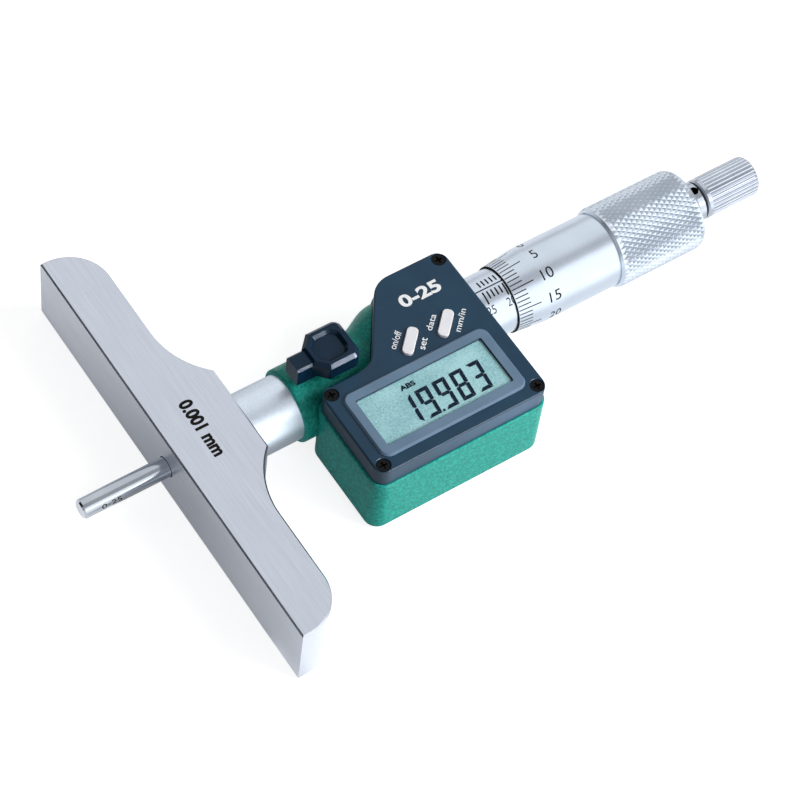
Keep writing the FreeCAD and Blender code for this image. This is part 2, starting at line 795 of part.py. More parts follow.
def make_housing():
    """Cast housing: a barrel that flares to the encoder drum, joined to the display box."""
    body = new_body("housing")

    def box_plan(sketch):
        corner = d.corner_radius
        left, right, low, high = d.box_left, d.box_right, d.box_low, d.box_high
        draw_loop(sketch, [
            (left + corner, low), (right - corner, low, corner), (right, low + corner), (right, high),
            (left + corner, high, corner), (left, high - corner), (left, low + corner, corner),
        ])

    pad(body, box_plan, d.split_plane - d.box_back, offset=d.box_back)
    back = d.box_back
    soften(body, "Fillet", d.box_back_round, lambda edge: all_at(edge, 2, back))
    pad(body, lambda sketch: draw_loop(sketch, panel_outline(as_size(0))), d.pad_depth,
        offset=d.split_plane - d.pad_depth)
    split = d.split_plane
    soften(body, "Fillet", d.lip_round, lambda edge: all_at(edge, 2, split))
    barrel = d.barrel_diameter / 2
    drum = d.drum_diameter / 2
    rise = drum - barrel
    bend = d.flare_radius
    slope_length = root(d.flare_length * d.flare_length + rise * rise)
    half_turn = (slope_length - d.flare_length) / rise
    setback = bend * half_turn
    along = d.flare_length / slope_length
    up = rise / slope_length
    flare_end = d.flare_start + d.flare_length
    nose = d.nose_break
    rim = d.box_back_round
    revolve(body, [
        (d.housing_front, 0), (d.box_right, 0), (d.box_right, drum - rim, rim),
        (d.box_right - rim, drum), (flare_end + setback, drum, bend),
        (flare_end - setback * along, drum - setback * up),
        (d.flare_start + setback * along, barrel + setback * up, -bend),
        (d.flare_start - setback, barrel), (d.housing_front + nose, barrel, nose),
        (d.housing_front, barrel - nose),
    ])
    pad(body, lambda sketch: draw_circle(sketch, d.lock_x, 0, d.lock_boss_diameter), d.lock_boss_top)
    pocket(body, lambda sketch: draw_loop(sketch, panel_outline(d.cover_inset - d.notch_gap)),
           offset=d.split_plane, Reversed=True)
    pocket(body, lambda sketch: draw_loop(sketch, box_corners(d.box_right, as_size(0), 2 * d.corner_radius,
                                                              2 * d.tower_top)),
           offset=d.split_plane, Reversed=True)
    wall = d.housing_wall
    bay_length = d.box_right - d.box_left - 2 * wall
    bay_width = d.bay_top - d.box_low - wall
    bay_x = (d.box_left + d.box_right) / 2
    bay_y = (d.bay_top + d.box_low + wall) / 2
    pocket(body, lambda sketch: draw_loop(sketch, rounded_box(bay_x, bay_y, bay_length, bay_width,
                                                              d.corner_radius / 2)),
           d.split_plane - floor_top, offset=d.split_plane)
    pad(body, lambda sketch: draw_circle(sketch, d.battery_x, d.battery_y, d.well_diameter),
        well_top - floor_top + d.housing_floor / 2, offset=floor_top - d.housing_floor / 2)
    for spot_x, spot_y in boss_spots[:2]:
        pad(body, lambda sketch: draw_circle(sketch, spot_x, spot_y, 2 * (d.corner_radius - d.lip_round)),
            d.split_plane - floor_top + d.housing_floor / 2, offset=floor_top - d.housing_floor / 2)
    gasket_out = d.gasket_inset
    gasket_in = d.gasket_inset + d.gasket_width

    def gasket_groove(sketch):
        draw_loop(sketch, panel_outline(gasket_out))
        draw_loop(sketch, panel_outline(gasket_in))

    pocket(body, gasket_groove, d.gasket_thickness, offset=d.split_plane)
    clear = d.spindle_diameter / 2 + d.piece_gap
    revolve(body, [
        (d.housing_front, 0), (d.box_right, 0), (d.box_right, d.rear_bore / 2),
        (chamber_end, d.rear_bore / 2), (chamber_end, stator_pocket / 2),
        (d.stator_seat, stator_pocket / 2), (d.stator_seat, d.chamber_diameter / 2),
        (d.chamber_start, d.chamber_diameter / 2), (d.chamber_start, clear),
        (d.spigot_end, clear), (d.spigot_end, d.spigot_diameter / 2),
        (d.housing_front, d.spigot_diameter / 2),
    ], kind="Groove")
    lock_hole = new_sketch(body, "XY_Plane")
    draw_circle(lock_hole, d.lock_x, 0, d.lock_screw_diameter)
    feature(body, "Pocket", lock_hole, Type=1, Reversed=True)
    for spot_x, spot_y in screw_spots:
        hole = new_sketch(body, "XY_Plane", d.split_plane)
        draw_circle(hole, spot_x, spot_y, d.screw_shaft)
        feature(body, "Pocket", hole, Length=d.screw_length - d.cover_height + d.piece_gap)
    cap_depth = d.battery_cap_thickness + d.seal_cord
    cap_hole = new_sketch(body, "XY_Plane", d.box_back)
    draw_circle(cap_hole, d.battery_x, d.battery_y, d.battery_cap_diameter)
    feature(body, "Pocket", cap_hole, Length=cap_depth, Reversed=True)
    cell_hole = new_sketch(body, "XY_Plane", d.box_back)
    draw_circle(cell_hole, d.battery_x, d.battery_y, d.battery_diameter + 2 * d.piece_gap)
    feature(body, "Pocket", cell_hole, Length=well_ceiling - d.box_back, Reversed=True)
    post_hole = new_sketch(body, "XY_Plane", well_top)
    draw_circle(post_hole, d.battery_x, d.battery_y, d.contact_post + 2 * d.piece_gap)
    feature(body, "Pocket", post_hole, Length=d.housing_floor)
    return body


def make_cover_gasket():
    """Rubber cord in the groove of the housing's rim."""
    body = new_body("cover_gasket")

    def ring(sketch):
        draw_loop(sketch, panel_outline(d.gasket_inset))
        draw_loop(sketch, panel_outline(d.gasket_inset + d.gasket_width))

    pad(body, ring, d.gasket_thickness, offset=d.split_plane - d.gasket_thickness)
    for spot_x, spot_y in screw_spots:
        pocket(body, lambda sketch: draw_circle(sketch, spot_x, spot_y, d.screw_shaft + 2 * d.running_fit),
               offset=d.split_plane)
    return body


# Clamp

def make_lock_shoe():
    """Brass shoe that presses on the spindle."""
    body = new_body("lock_shoe")
    low = d.spindle_diameter / 2 + 2 * d.running_fit
    pad(body, lambda sketch: draw_circle(sketch, d.lock_x, 0, d.shoe_diameter), d.shoe_height, offset=low)
    return body


def make_lock_screw():
    """Threaded stem turned by the lever."""
    body = new_body("lock_screw")
    low = d.spindle_diameter / 2 + 2 * d.running_fit + d.shoe_height + d.running_fit
    diameter = d.lock_screw_diameter - 2 * d.running_fit
    pad(body, lambda sketch: draw_circle(sketch, d.lock_x, 0, diameter),
        lever_low + d.lock_screw_grip - low, offset=low)
    return body


def lever_plan(inset):
    """Plan of the lever's head, narrowing to the width of its tail."""
    x = d.lock_x
    slide = (root(as_size(2)) - 1) * inset
    front = x + d.head_front - inset
    half = d.head_half - inset
    back = x - d.head_back + slide
    radius = d.head_radius
    neck = x - d.neck_back + inset
    narrow = d.tail_half - slide
    return [(back, -half), (front - radius, -half, radius), (front, radius - half),
            (front, half - radius, radius), (front - radius, half), (back, half), (neck, narrow),
            (neck, -narrow)]


def make_lock_lever():
    """Moulded clamp lever with a dished, bevelled head and a lower thumb tail."""
    body = new_body("lock_lever")
    top = lever_top
    pad(body, lambda sketch: draw_loop(sketch, lever_plan(as_size(0))), d.lever_height, offset=lever_low)
    soften(body, "Chamfer", d.lever_edge_break, lambda edge: all_at(edge, 2, top))
    soften(body, "Chamfer", d.lever_under_break, lambda edge: all_at(edge, 2, lever_low))
    tail_top = top - d.tail_drop
    half = d.tail_half
    bevel = d.tail_edge_break

    def tail(sketch):
        draw_loop(sketch, [
            (-half, lever_low), (half, lever_low), (half, tail_top - bevel), (half - bevel, tail_top),
            (bevel - half, tail_top), (-half, tail_top - bevel),
        ])

    pad(body, tail, d.tail_reach - d.head_back, offset=d.lock_x - d.tail_reach, role="YZ_Plane")
    pocket(body, lambda sketch: draw_loop(sketch, lever_plan(d.dish_margin)), d.dish_depth,
           offset=lever_top)
    rim = d.head_half - d.dish_margin
    back = d.lock_x - d.neck_back + d.dish_margin
    soften(body, "Chamfer", d.dish_slope,
           lambda edge: all_at(edge, 2, top) and edge.BoundBox.XMin > back.value - 1e-4
           and edge.BoundBox.YMax < rim.value + 1e-4 and edge.BoundBox.YMin > -rim.value - 1e-4)
    bore = new_sketch(body, "XY_Plane", lever_low)
    draw_circle(bore, d.lock_x, 0, d.lock_screw_diameter - 2 * d.running_fit)
    feature(body, "Pocket", bore, Length=d.lock_screw_grip, Reversed=True)
    return body


# Scale and thread

def make_graduated_sleeve():
    """Outer sleeve that carries the millimetre scale."""
    outer = d.sleeve_diameter / 2
    inner = d.barrel_tube / 2
    rim = d.base_edge_break
    return turned("graduated_sleeve", [
        (d.box_right, inner), (d.graduated_end, inner), (d.graduated_end, outer - rim),
        (d.graduated_end - rim, outer), (d.box_right, outer),
    ])


def make_threaded_barrel():
    """Inner barrel with the female thread in its slit rear end."""
    tube = d.barrel_tube / 2
    relief = d.barrel_relief / 2
    thread = d.thread_diameter / 2 + d.running_fit
    thread_start = barrel_end - d.barrel_thread_length
    start = chamber_end - d.barrel_flange_thickness
    body = turned("threaded_barrel", [
        (start, relief), (thread_start, relief), (thread_start, thread),
        (barrel_end, thread), (barrel_end, tube), (d.box_right, tube),
        (d.box_right, d.rear_bore / 2), (chamber_end, d.rear_bore / 2),
        (chamber_end, d.barrel_flange / 2), (start, d.barrel_flange / 2),
    ])

    def slit(sketch):
        draw_loop(sketch, box_corners(barrel_end, as_size(0), 2 * d.slot_length, d.slot_width))

    cut = pocket(body, slit, d.barrel_tube, Reversed=True)
    polar(body, cut, 3)
    return body


def make_adjusting_nut():
    """Nut that closes the slit barrel on the thread."""
    end = barrel_end - d.base_edge_break
    body = turned("adjusting_nut", ring_corners(end - d.nut_length, end, d.nut_diameter, d.barrel_tube))
    hole = new_sketch(body, "XY_Plane")
    draw_circle(hole, end - d.nut_length / 2, 0, d.nut_length / 3)
    feature(body, "Pocket", hole, Type=1, Midplane=True)
    return body


# Encoder

def make_encoder_rotor():
    """Disc and hub that the keyed spindle turns."""
    front = d.chamber_start + d.piece_gap
    rear = d.stator_seat - d.piece_gap
    disc = rear - d.rotor_disc_thickness
    bore = d.spindle_diameter / 2 + d.running_fit
    body = turned("encoder_rotor", [
        (front, bore), (rear, bore), (rear, d.rotor_disc / 2), (disc, d.rotor_disc / 2),
        (disc, d.rotor_hub / 2), (front, d.rotor_hub / 2),
    ])
    slot = new_sketch(body, "XY_Plane")
    draw_loop(slot, box_corners(d.key_place, as_size(0), d.key_side, d.key_side))
    feature(body, "Pocket", slot, Type=1)
    return body


def make_drive_key():
    """Key that slides in the spindle's keyway and turns the rotor."""
    body = new_body("drive_key")
    low = d.spindle_diameter / 2 - d.keyway_depth + 2 * d.running_fit
    pad(body, lambda sketch: draw_loop(sketch, box_corners(d.key_place, as_size(0), d.key_side, d.key_side)),
        d.rotor_hub / 2 - low - 2 * d.running_fit, offset=-low, Reversed=True)
    return body


def make_encoder_stator():
    """Fixed sensing plate that faces the rotor."""
    return turned("encoder_stator", ring_corners(d.stator_seat, d.stator_seat + d.stator_thickness,
                                                 stator_pocket, d.stator_bore))


def make_stator_spacer():
    """Tube between the stator and the barrel's flange."""
    return turned("stator_spacer",
                  ring_corners(d.stator_seat + d.stator_thickness,
                               chamber_end - d.barrel_flange_thickness, stator_pocket, d.spacer_bore))


# Cover and display

def pill(spot, grow):
    """Round-cornered outline of a button, grown on every side."""
    return rounded_box(as_size(0), as_size(0), d.button_length + 2 * grow, d.button_width + 2 * grow,
                       d.button_corner + grow), spot


def turned_sketch(body, spot, level, grow):
    """A button outline drawn flat at a spot, turned to the button's slant."""
    sketch = new_sketch(body, "XY_Plane", level)
    outline, (x, y) = pill(spot, grow)
    sketch.setExpression(".AttachmentOffset.Base.x", x.text)
    sketch.setExpression(".AttachmentOffset.Base.y", y.text)
    sketch.setExpression(".AttachmentOffset.Rotation.Angle", d.button_turn.text)
    draw_loop(sketch, outline)
    return sketch


plug_length = d.window_length + 2 * d.bezel_lip
plug_width = d.window_width + 2 * d.bezel_lip
lcd_top = cover_top + d.bezel_height - d.window_sunk - d.window_thickness
lcd_length = d.window_length - 2 * d.lcd_clearance
lcd_width = d.window_width - 2 * d.lcd_clearance


def make_front_cover():
    """Moulded cover over the electronics, with window, button and screw openings."""
    body = new_body("front_cover")
    pad(body, lambda sketch: draw_loop(sketch, panel_outline(d.cover_inset)), d.cover_height,
        offset=d.split_plane)
    top = cover_top
    soften(body, "Fillet", d.cover_edge_round, lambda edge: all_at(edge, 2, top))
    pocket(body, lambda sketch: draw_loop(sketch, panel_outline(d.cover_inset + d.cover_wall)),
           d.cover_height - d.cover_roof, offset=d.split_plane, Reversed=True)
    for spot_x, spot_y in boss_spots:
        pad(body, lambda sketch: draw_circle(sketch, spot_x, spot_y, 2 * (d.corner_radius - d.cover_inset)),
            d.cover_height - d.cover_roof / 2, offset=d.split_plane)
    pocket(body, lambda sketch: draw_loop(sketch, rounded_box(d.display_x, d.display_y, plug_length,
                                                              plug_width, d.window_corner)),
           d.cover_roof, offset=cover_top)
    for spot in button_spots:
        hole = turned_sketch(body, spot, cover_top, d.button_gap)
        feature(body, "Pocket", hole, Length=d.cover_roof + d.piece_gap)
    for spot_x, spot_y in screw_spots:
        pocket(body, lambda sketch: draw_circle(sketch, spot_x, spot_y, d.screw_recess),
               d.screw_sunk + d.screw_head_height, offset=cover_top)
        pocket(body, lambda sketch: draw_circle(sketch, spot_x, spot_y, d.screw_shaft + 2 * d.running_fit),
               offset=cover_top)
    recess = d.screw_recess
    soften(body, "Chamfer", d.recess_edge_break,
           lambda edge: all_at(edge, 2, top) and edge.Length < math.pi * recess.value + 1e-3
           and isinstance(edge.Curve, Part.Circle) and abs(edge.Curve.Radius - recess.value / 2) < 1e-4)
    return body


def make_display_bezel():
    """Raised frame round the display window."""
    body = new_body("display_bezel")
    pad(body, lambda sketch: draw_loop(sketch, rounded_box(d.display_x, d.display_y, plug_length,
                                                           plug_width, d.window_corner)),
        d.cover_roof, offset=roof_under)
    pad(body, lambda sketch: draw_loop(sketch, rounded_box(d.display_x, d.display_y, d.bezel_length,
                                                           d.bezel_width, d.bezel_corner)),
        d.bezel_height, offset=cover_top)
    top = cover_top + d.bezel_height
    soften(body, "Chamfer", d.bezel_bevel, lambda edge: all_at(edge, 2, top))
    pocket(body, lambda sketch: draw_loop(sketch, rounded_box(d.display_x, d.display_y, d.window_length,
                                                              d.window_width, d.window_corner)),
           offset=top)
    return body


def make_display_window():
    """Clear plate inside the bezel."""
    body = new_body("display_window")
    pad(body, lambda sketch: draw_loop(sketch, rounded_box(d.display_x, d.display_y, d.window_length,
                                                           d.window_width, d.window_corner)),
        d.window_thickness, offset=lcd_top)
    return body


def make_lcd_panel():
    """Liquid crystal panel inside the bezel, under the window."""
    body = new_body("lcd_panel")
    pad(body, lambda sketch: draw_loop(sketch, box_corners(d.display_x, d.display_y, lcd_length, lcd_width)),
        d.lcd_thickness, offset=lcd_top - d.lcd_thickness)
    return body


def make_lcd_connectors():
    """Two conductive rubber strips between board and panel."""
    body = new_body("lcd_connectors")
    step = (lcd_width - d.connector_width) / 2

    def strips(sketch):
        for side in (-1, 1):
            draw_loop(sketch, box_corners(d.display_x, d.display_y + side * step, lcd_length,
                                          d.connector_width))

    pad(body, strips, lcd_top - d.lcd_thickness - board_top, offset=board_top)
    return body


def make_circuit_board():
    """Board that fills the cover, notched round the screw bosses."""
    body = new_body("circuit_board")
    pad(body, lambda sketch: draw_loop(sketch, panel_outline(d.board_inset)), d.board_thickness,
        offset=board_low)
    for spot_x, spot_y in boss_spots:
        pocket(body, lambda sketch: draw_circle(sketch, spot_x, spot_y,
                                                2 * (d.corner_radius - d.cover_inset + d.piece_gap)),
               offset=board_top)
    return body


def make_button(name, spot):
    """Pill-shaped key with a flange that keeps it under the cover."""
    body = new_body(name)
    flange_top = roof_under - 2 * d.running_fit
    flange = turned_sketch(body, spot, flange_top - d.button_flange_thickness, d.button_flange)
    feature(body, "Pad", flange, Length=d.button_flange_thickness)
    stem = turned_sketch(body, spot, flange_top - d.button_flange_thickness, as_size(0))
    feature(body, "Pad", stem, Length=cover_top + d.button_proud - flange_top + d.button_flange_thickness)
    top = cover_top + d.button_proud
    soften(body, "Fillet", d.button_gap, lambda edge: all_at(edge, 2, top))
    return body


def make_button_pad():
    """Thin rubber mat with the contacts of both buttons."""
    body = new_body("button_pad")
    middle = (d.first_button_x + d.second_button_x) / 2
    length = d.second_button_x - d.first_button_x + d.button_length
    pad(body, lambda sketch: draw_loop(sketch, rounded_box(middle, d.button_y, length, d.button_length,
                                                           d.button_corner)),
        d.button_pad_thickness, offset=board_top)
    return body


def make_cover_screws():
    """Four cross-head screws that hold the cover."""
    group = []
    for index, (spot_x, spot_y) in enumerate(screw_spots, start=1):
        body = new_body(f"cover_screw_{index}")
        pad(body, lambda sketch: draw_circle(sketch, spot_x, spot_y, d.screw_head),
            d.screw_head_height, offset=screw_top - d.screw_head_height)
        pad(body, lambda sketch: draw_circle(sketch, spot_x, spot_y, d.screw_shaft),
            d.screw_length, offset=screw_top - d.screw_length)
        for length, width in ((d.cross_length, d.cross_width), (d.cross_width, d.cross_length)):
            pocket(body, lambda sketch: draw_loop(sketch, box_corners(spot_x, spot_y, length, width)),
                   d.cross_depth, offset=screw_top)
        group.append(body)
    screws = doc.addObject("Part::Compound", "cover_screws")
    screws.Links = group
    screws.Label = "cover_screws"
    return screws


# Battery

seal_level = d.box_back + d.battery_cap_thickness


def make_battery_cap():
    """Screwed cap in the back with a coin slot."""
    body = new_body("battery_cap")
    pad(body, lambda sketch: draw_circle(sketch, d.battery_x, d.battery_y, d.battery_cap_diameter),
        d.battery_cap_thickness, offset=d.box_back)
    plug = d.battery_diameter - 2 * d.piece_gap
    pad(body, lambda sketch: draw_circle(sketch, d.battery_x, d.battery_y, plug), d.battery_cap_plug,
        offset=seal_level)
    pocket(body, lambda sketch: draw_loop(sketch, box_corners(d.battery_x, d.battery_y,
                                                              d.coin_slot_length, d.coin_slot_width)),
           d.coin_slot_depth, offset=d.box_back, Reversed=True)
    return body


def make_battery_seal():
    """Rubber ring under the cap's rim."""
    body = new_body("battery_seal")

    def ring(sketch):
        draw_circle(sketch, d.battery_x, d.battery_y, d.battery_cap_diameter)
        draw_circle(sketch, d.battery_x, d.battery_y, d.battery_diameter + 2 * d.piece_gap)

    pad(body, ring, d.seal_cord, offset=seal_level)
    return body


def make_battery():
    """Button cell."""
    body = new_body("battery")
    pad(body, lambda sketch: draw_circle(sketch, d.battery_x, d.battery_y, d.battery_diameter),
        d.battery_height, offset=cell_low)
    soften(body, "Fillet", d.base_edge_break, lambda edge: all_at(edge, 2, cell_top))
    return body


def make_battery_contact():
    """Contact plate above the cell with a post to the board."""
    body = new_body("battery_contact")
    pad(body, lambda sketch: draw_circle(sketch, d.battery_x, d.battery_y, d.contact_diameter),
        d.contact_thickness, offset=cell_top)
    pad(body, lambda sketch: draw_circle(sketch, d.battery_x, d.battery_y, d.contact_post),
        board_low - cell_top, offset=cell_top)
    return body


PIECES = [
    make_base(), make_front_sleeve(), make_rod_seal(),
    make_housing(), make_cover_gasket(), make_front_cover(), make_display_bezel(),
    make_display_window(), make_lcd_panel(), make_lcd_connectors(), make_circuit_board(),
    make_button("on_off_button", button_spots[0]), make_button("unit_button", button_spots[1]),
    make_button_pad(), make_cover_screws(),
    make_battery_cap(), make_battery_seal(), make_battery(), make_battery_contact(),
    make_lock_shoe(), make_lock_screw(), make_lock_lever(),
    make_graduated_sleeve(), make_threaded_barrel(), make_adjusting_nut(),
    make_encoder_rotor(), make_drive_key(), make_encoder_stator(), make_stator_spacer(),
    make_spindle(), make_measuring_rod(), make_rod_nuts(), make_thimble(), make_thimble_cap(),
    make_ratchet_wheel(), make_ratchet_pawl(), make_ratchet_spring(), make_shaft_clip(),
    make_ratchet_knob(),
]

doc.recompute()

for item in doc.Objects:
    if "Invalid" in item.State or "Error" in item.State:
        raise RuntimeError(f"{item.Label} did not build: {item.State}")
for piece in PIECES:
    if piece.Shape.isNull() or not piece.Shape.isValid():
        raise RuntimeError(f"{piece.Label} has no valid shape")
for piece in PIECES:
    piece.Shape.exportStep(f"parts/{piece.Label}.step")
    print(f"{piece.Label}: {len(piece.Shape.Solids)} solids, {piece.Shape.Volume:.1f} mm3")
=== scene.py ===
"""Looks of a digital depth micrometer: finishes, knurl, scales, display and lettering.

Lengths in the tables are millimetres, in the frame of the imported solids:
+X along the spindle to the ratchet, +Y across the base, +Z out of the display.
"""
import math

import bpy
from bpy.props import (
    FloatProperty, FloatVectorProperty, IntProperty, PointerProperty, StringProperty,
)
from mathutils import Matrix, Vector


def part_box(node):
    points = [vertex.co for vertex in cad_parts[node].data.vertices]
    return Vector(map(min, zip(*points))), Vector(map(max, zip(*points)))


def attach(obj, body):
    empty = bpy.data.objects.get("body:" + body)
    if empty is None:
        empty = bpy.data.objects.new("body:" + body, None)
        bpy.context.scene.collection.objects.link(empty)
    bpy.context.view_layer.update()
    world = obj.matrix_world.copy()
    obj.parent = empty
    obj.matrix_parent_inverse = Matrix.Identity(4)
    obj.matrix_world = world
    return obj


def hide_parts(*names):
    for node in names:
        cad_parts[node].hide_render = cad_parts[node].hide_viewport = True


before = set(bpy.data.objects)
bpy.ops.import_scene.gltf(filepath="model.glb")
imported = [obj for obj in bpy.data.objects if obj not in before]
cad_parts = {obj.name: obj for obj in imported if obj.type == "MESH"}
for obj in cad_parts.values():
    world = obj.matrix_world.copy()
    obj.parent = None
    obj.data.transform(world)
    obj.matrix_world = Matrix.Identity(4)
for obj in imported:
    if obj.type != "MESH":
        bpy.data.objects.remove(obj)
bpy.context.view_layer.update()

bl_info = {
    "name": "Depth micrometer",
    "version": (1, 0, 0),
    "blender": (4, 5, 0),
    "location": "3D View > Sidebar > Micrometer",
    "description": "Dresses the packed depth micrometer with its finishes, scales and display",
    "category": "Object",
}

MM = 0.001
CLOSE = 0.01               # mm within which two points count as one place


def linear(code):
    """An sRGB hex colour as linear red, green, blue and alpha."""
    parts = [int(code[i:i + 2], 16) / 255 for i in (1, 3, 5)]
    parts = [c / 12.92 if c <= 0.04045 else ((c + 0.055) / 1.055) ** 2.4 for c in parts]
    return (*parts, 1.0)


def colour_of(value):
    """A colour setting as four numbers."""
    return tuple(value[:3]) + (1.0,)


# ---------------------------------------------------------------- finishes

def add(tree, kind, inputs=None, **settings):
    """Adds a node, sets it, and fills its inputs with values or with other nodes' sockets."""
    made = tree.nodes.new(kind)
    for key, value in settings.items():
        setattr(made, key, value)
    for key, value in (inputs or {}).items():
        if isinstance(value, bpy.types.NodeSocket):
            tree.links.new(value, made.inputs[key])
        else:
            made.inputs[key].default_value = value
    return made


def blank(name, sockets):
    """A new material with one shader on its output, set to the given plain values."""
    material = bpy.data.materials.new(name)
    material.use_nodes = True
    tree = material.node_tree
    tree.nodes.clear()
    shader = add(tree, "ShaderNodeBsdfPrincipled", sockets)
    add(tree, "ShaderNodeOutputMaterial", {"Surface": shader.outputs["BSDF"]})
    return material, tree, shader


def cloudy(tree, size, detail):
    """Soft noise on the piece itself, its features size mm wide, or so along x, y and z."""
    size = size if isinstance(size, tuple) else (size,) * 3
    place = add(tree, "ShaderNodeTexCoord").outputs["Object"]
    place = add(tree, "ShaderNodeMapping",
                {"Vector": place, "Scale": tuple(1000.0 / length for length in size)})
    pattern = add(tree, "ShaderNodeTexNoise",
                  {"Vector": place.outputs["Vector"], "Scale": 1.0, "Detail": detail})
    return pattern.outputs["Fac"]


def tinted(tree, pattern, low, high, first, second):
    """One colour passing into another as a pattern goes from low to high."""
    share = add(tree, "ShaderNodeMapRange", {"Value": pattern, "From Min": low, "From Max": high})
    return add(tree, "ShaderNodeMix", {0: share.outputs["Result"], 6: first, 7: second},
               data_type="RGBA").outputs[2]


def roughened(tree, shader, pattern, low, high):
    """Lets the roughness go from low to high with a noise pattern."""
    rough = add(tree, "ShaderNodeMapRange", {"Value": pattern, "From Min": 0.3, "From Max": 0.7,
                                             "To Min": low, "To Max": high})
    tree.links.new(rough.outputs["Result"], shader.inputs["Roughness"])


def embossed(tree, shader, pattern, depth, strength, sockets=("Normal",)):
    """Raises the surface with a pattern, by up to depth mm."""
    relief = add(tree, "ShaderNodeBump",
                 {"Height": pattern, "Distance": depth * MM, "Strength": strength})
    for socket in sockets:
        tree.links.new(relief.outputs["Normal"], shader.inputs[socket])


FAR = 1e6                  # mm, for a grain that runs on without end along an axis
# Painted shade in a drilled hole: its colour turns black down inside, where shade falls.
HOLE_SHADE_RIM = 0.03             # mm over which a hole's rim turns black
HOLE_SHADE_LIP = 0.05             # mm below the rim at which it is black all through


def blackened(tree, colour, x, radius, top):
    """A colour with painted shade: black inside one drilled hole along z, given its x, its radius
    and its top.
    """
    place = add(tree, "ShaderNodeTexCoord").outputs["Object"]
    flat = add(tree, "ShaderNodeMapping",
               {"Vector": place, "Scale": (1000.0, 1000.0, 1000.0 / FAR)})
    across = add(tree, "ShaderNodeVectorMath", {0: flat.outputs["Vector"], 1: (x, 0, 0)},
                 operation="DISTANCE")
    inside = add(tree, "ShaderNodeMapRange", {"Value": across.outputs["Value"],
                                              "From Min": radius + HOLE_SHADE_RIM, "From Max": radius})
    height = add(tree, "ShaderNodeSeparateXYZ", {"Vector": place})
    below = add(tree, "ShaderNodeMapRange", {"Value": height.outputs["Z"], "From Min": top * MM,
                                             "From Max": (top - HOLE_SHADE_LIP) * MM})
    both = add(tree, "ShaderNodeMath", {0: inside.outputs["Result"], 1: below.outputs["Result"]},
               operation="MULTIPLY")
    return add(tree, "ShaderNodeMix", {0: both.outputs["Value"], 6: colour, 7: linear("#030303")},
               data_type="RGBA").outputs[2]


def surface(name, colours, gloss, patch, grain, depth, strength, sockets, hole_shade=None):
    """One finish: two colours in soft patches, and a grain that varies the gloss and the relief.

    gloss is the range of roughness, patch and grain are sizes in mm, depth is the relief in mm.
    The last argument is a drilled hole that gets painted shade inside.
    """
    material, tree, shader = blank(name, sockets)
    colour = tinted(tree, cloudy(tree, patch, 3.0), 0.35, 0.65, *map(linear, colours))
    if hole_shade:
        colour = blackened(tree, colour, *hole_shade)
    tree.links.new(colour, shader.inputs["Base Color"])
    fine = cloudy(tree, grain, 4.0)
    roughened(tree, shader, fine, *gloss)
    embossed(tree, shader, fine, depth, strength)
    return material


METAL = {"Metallic": 1.0}
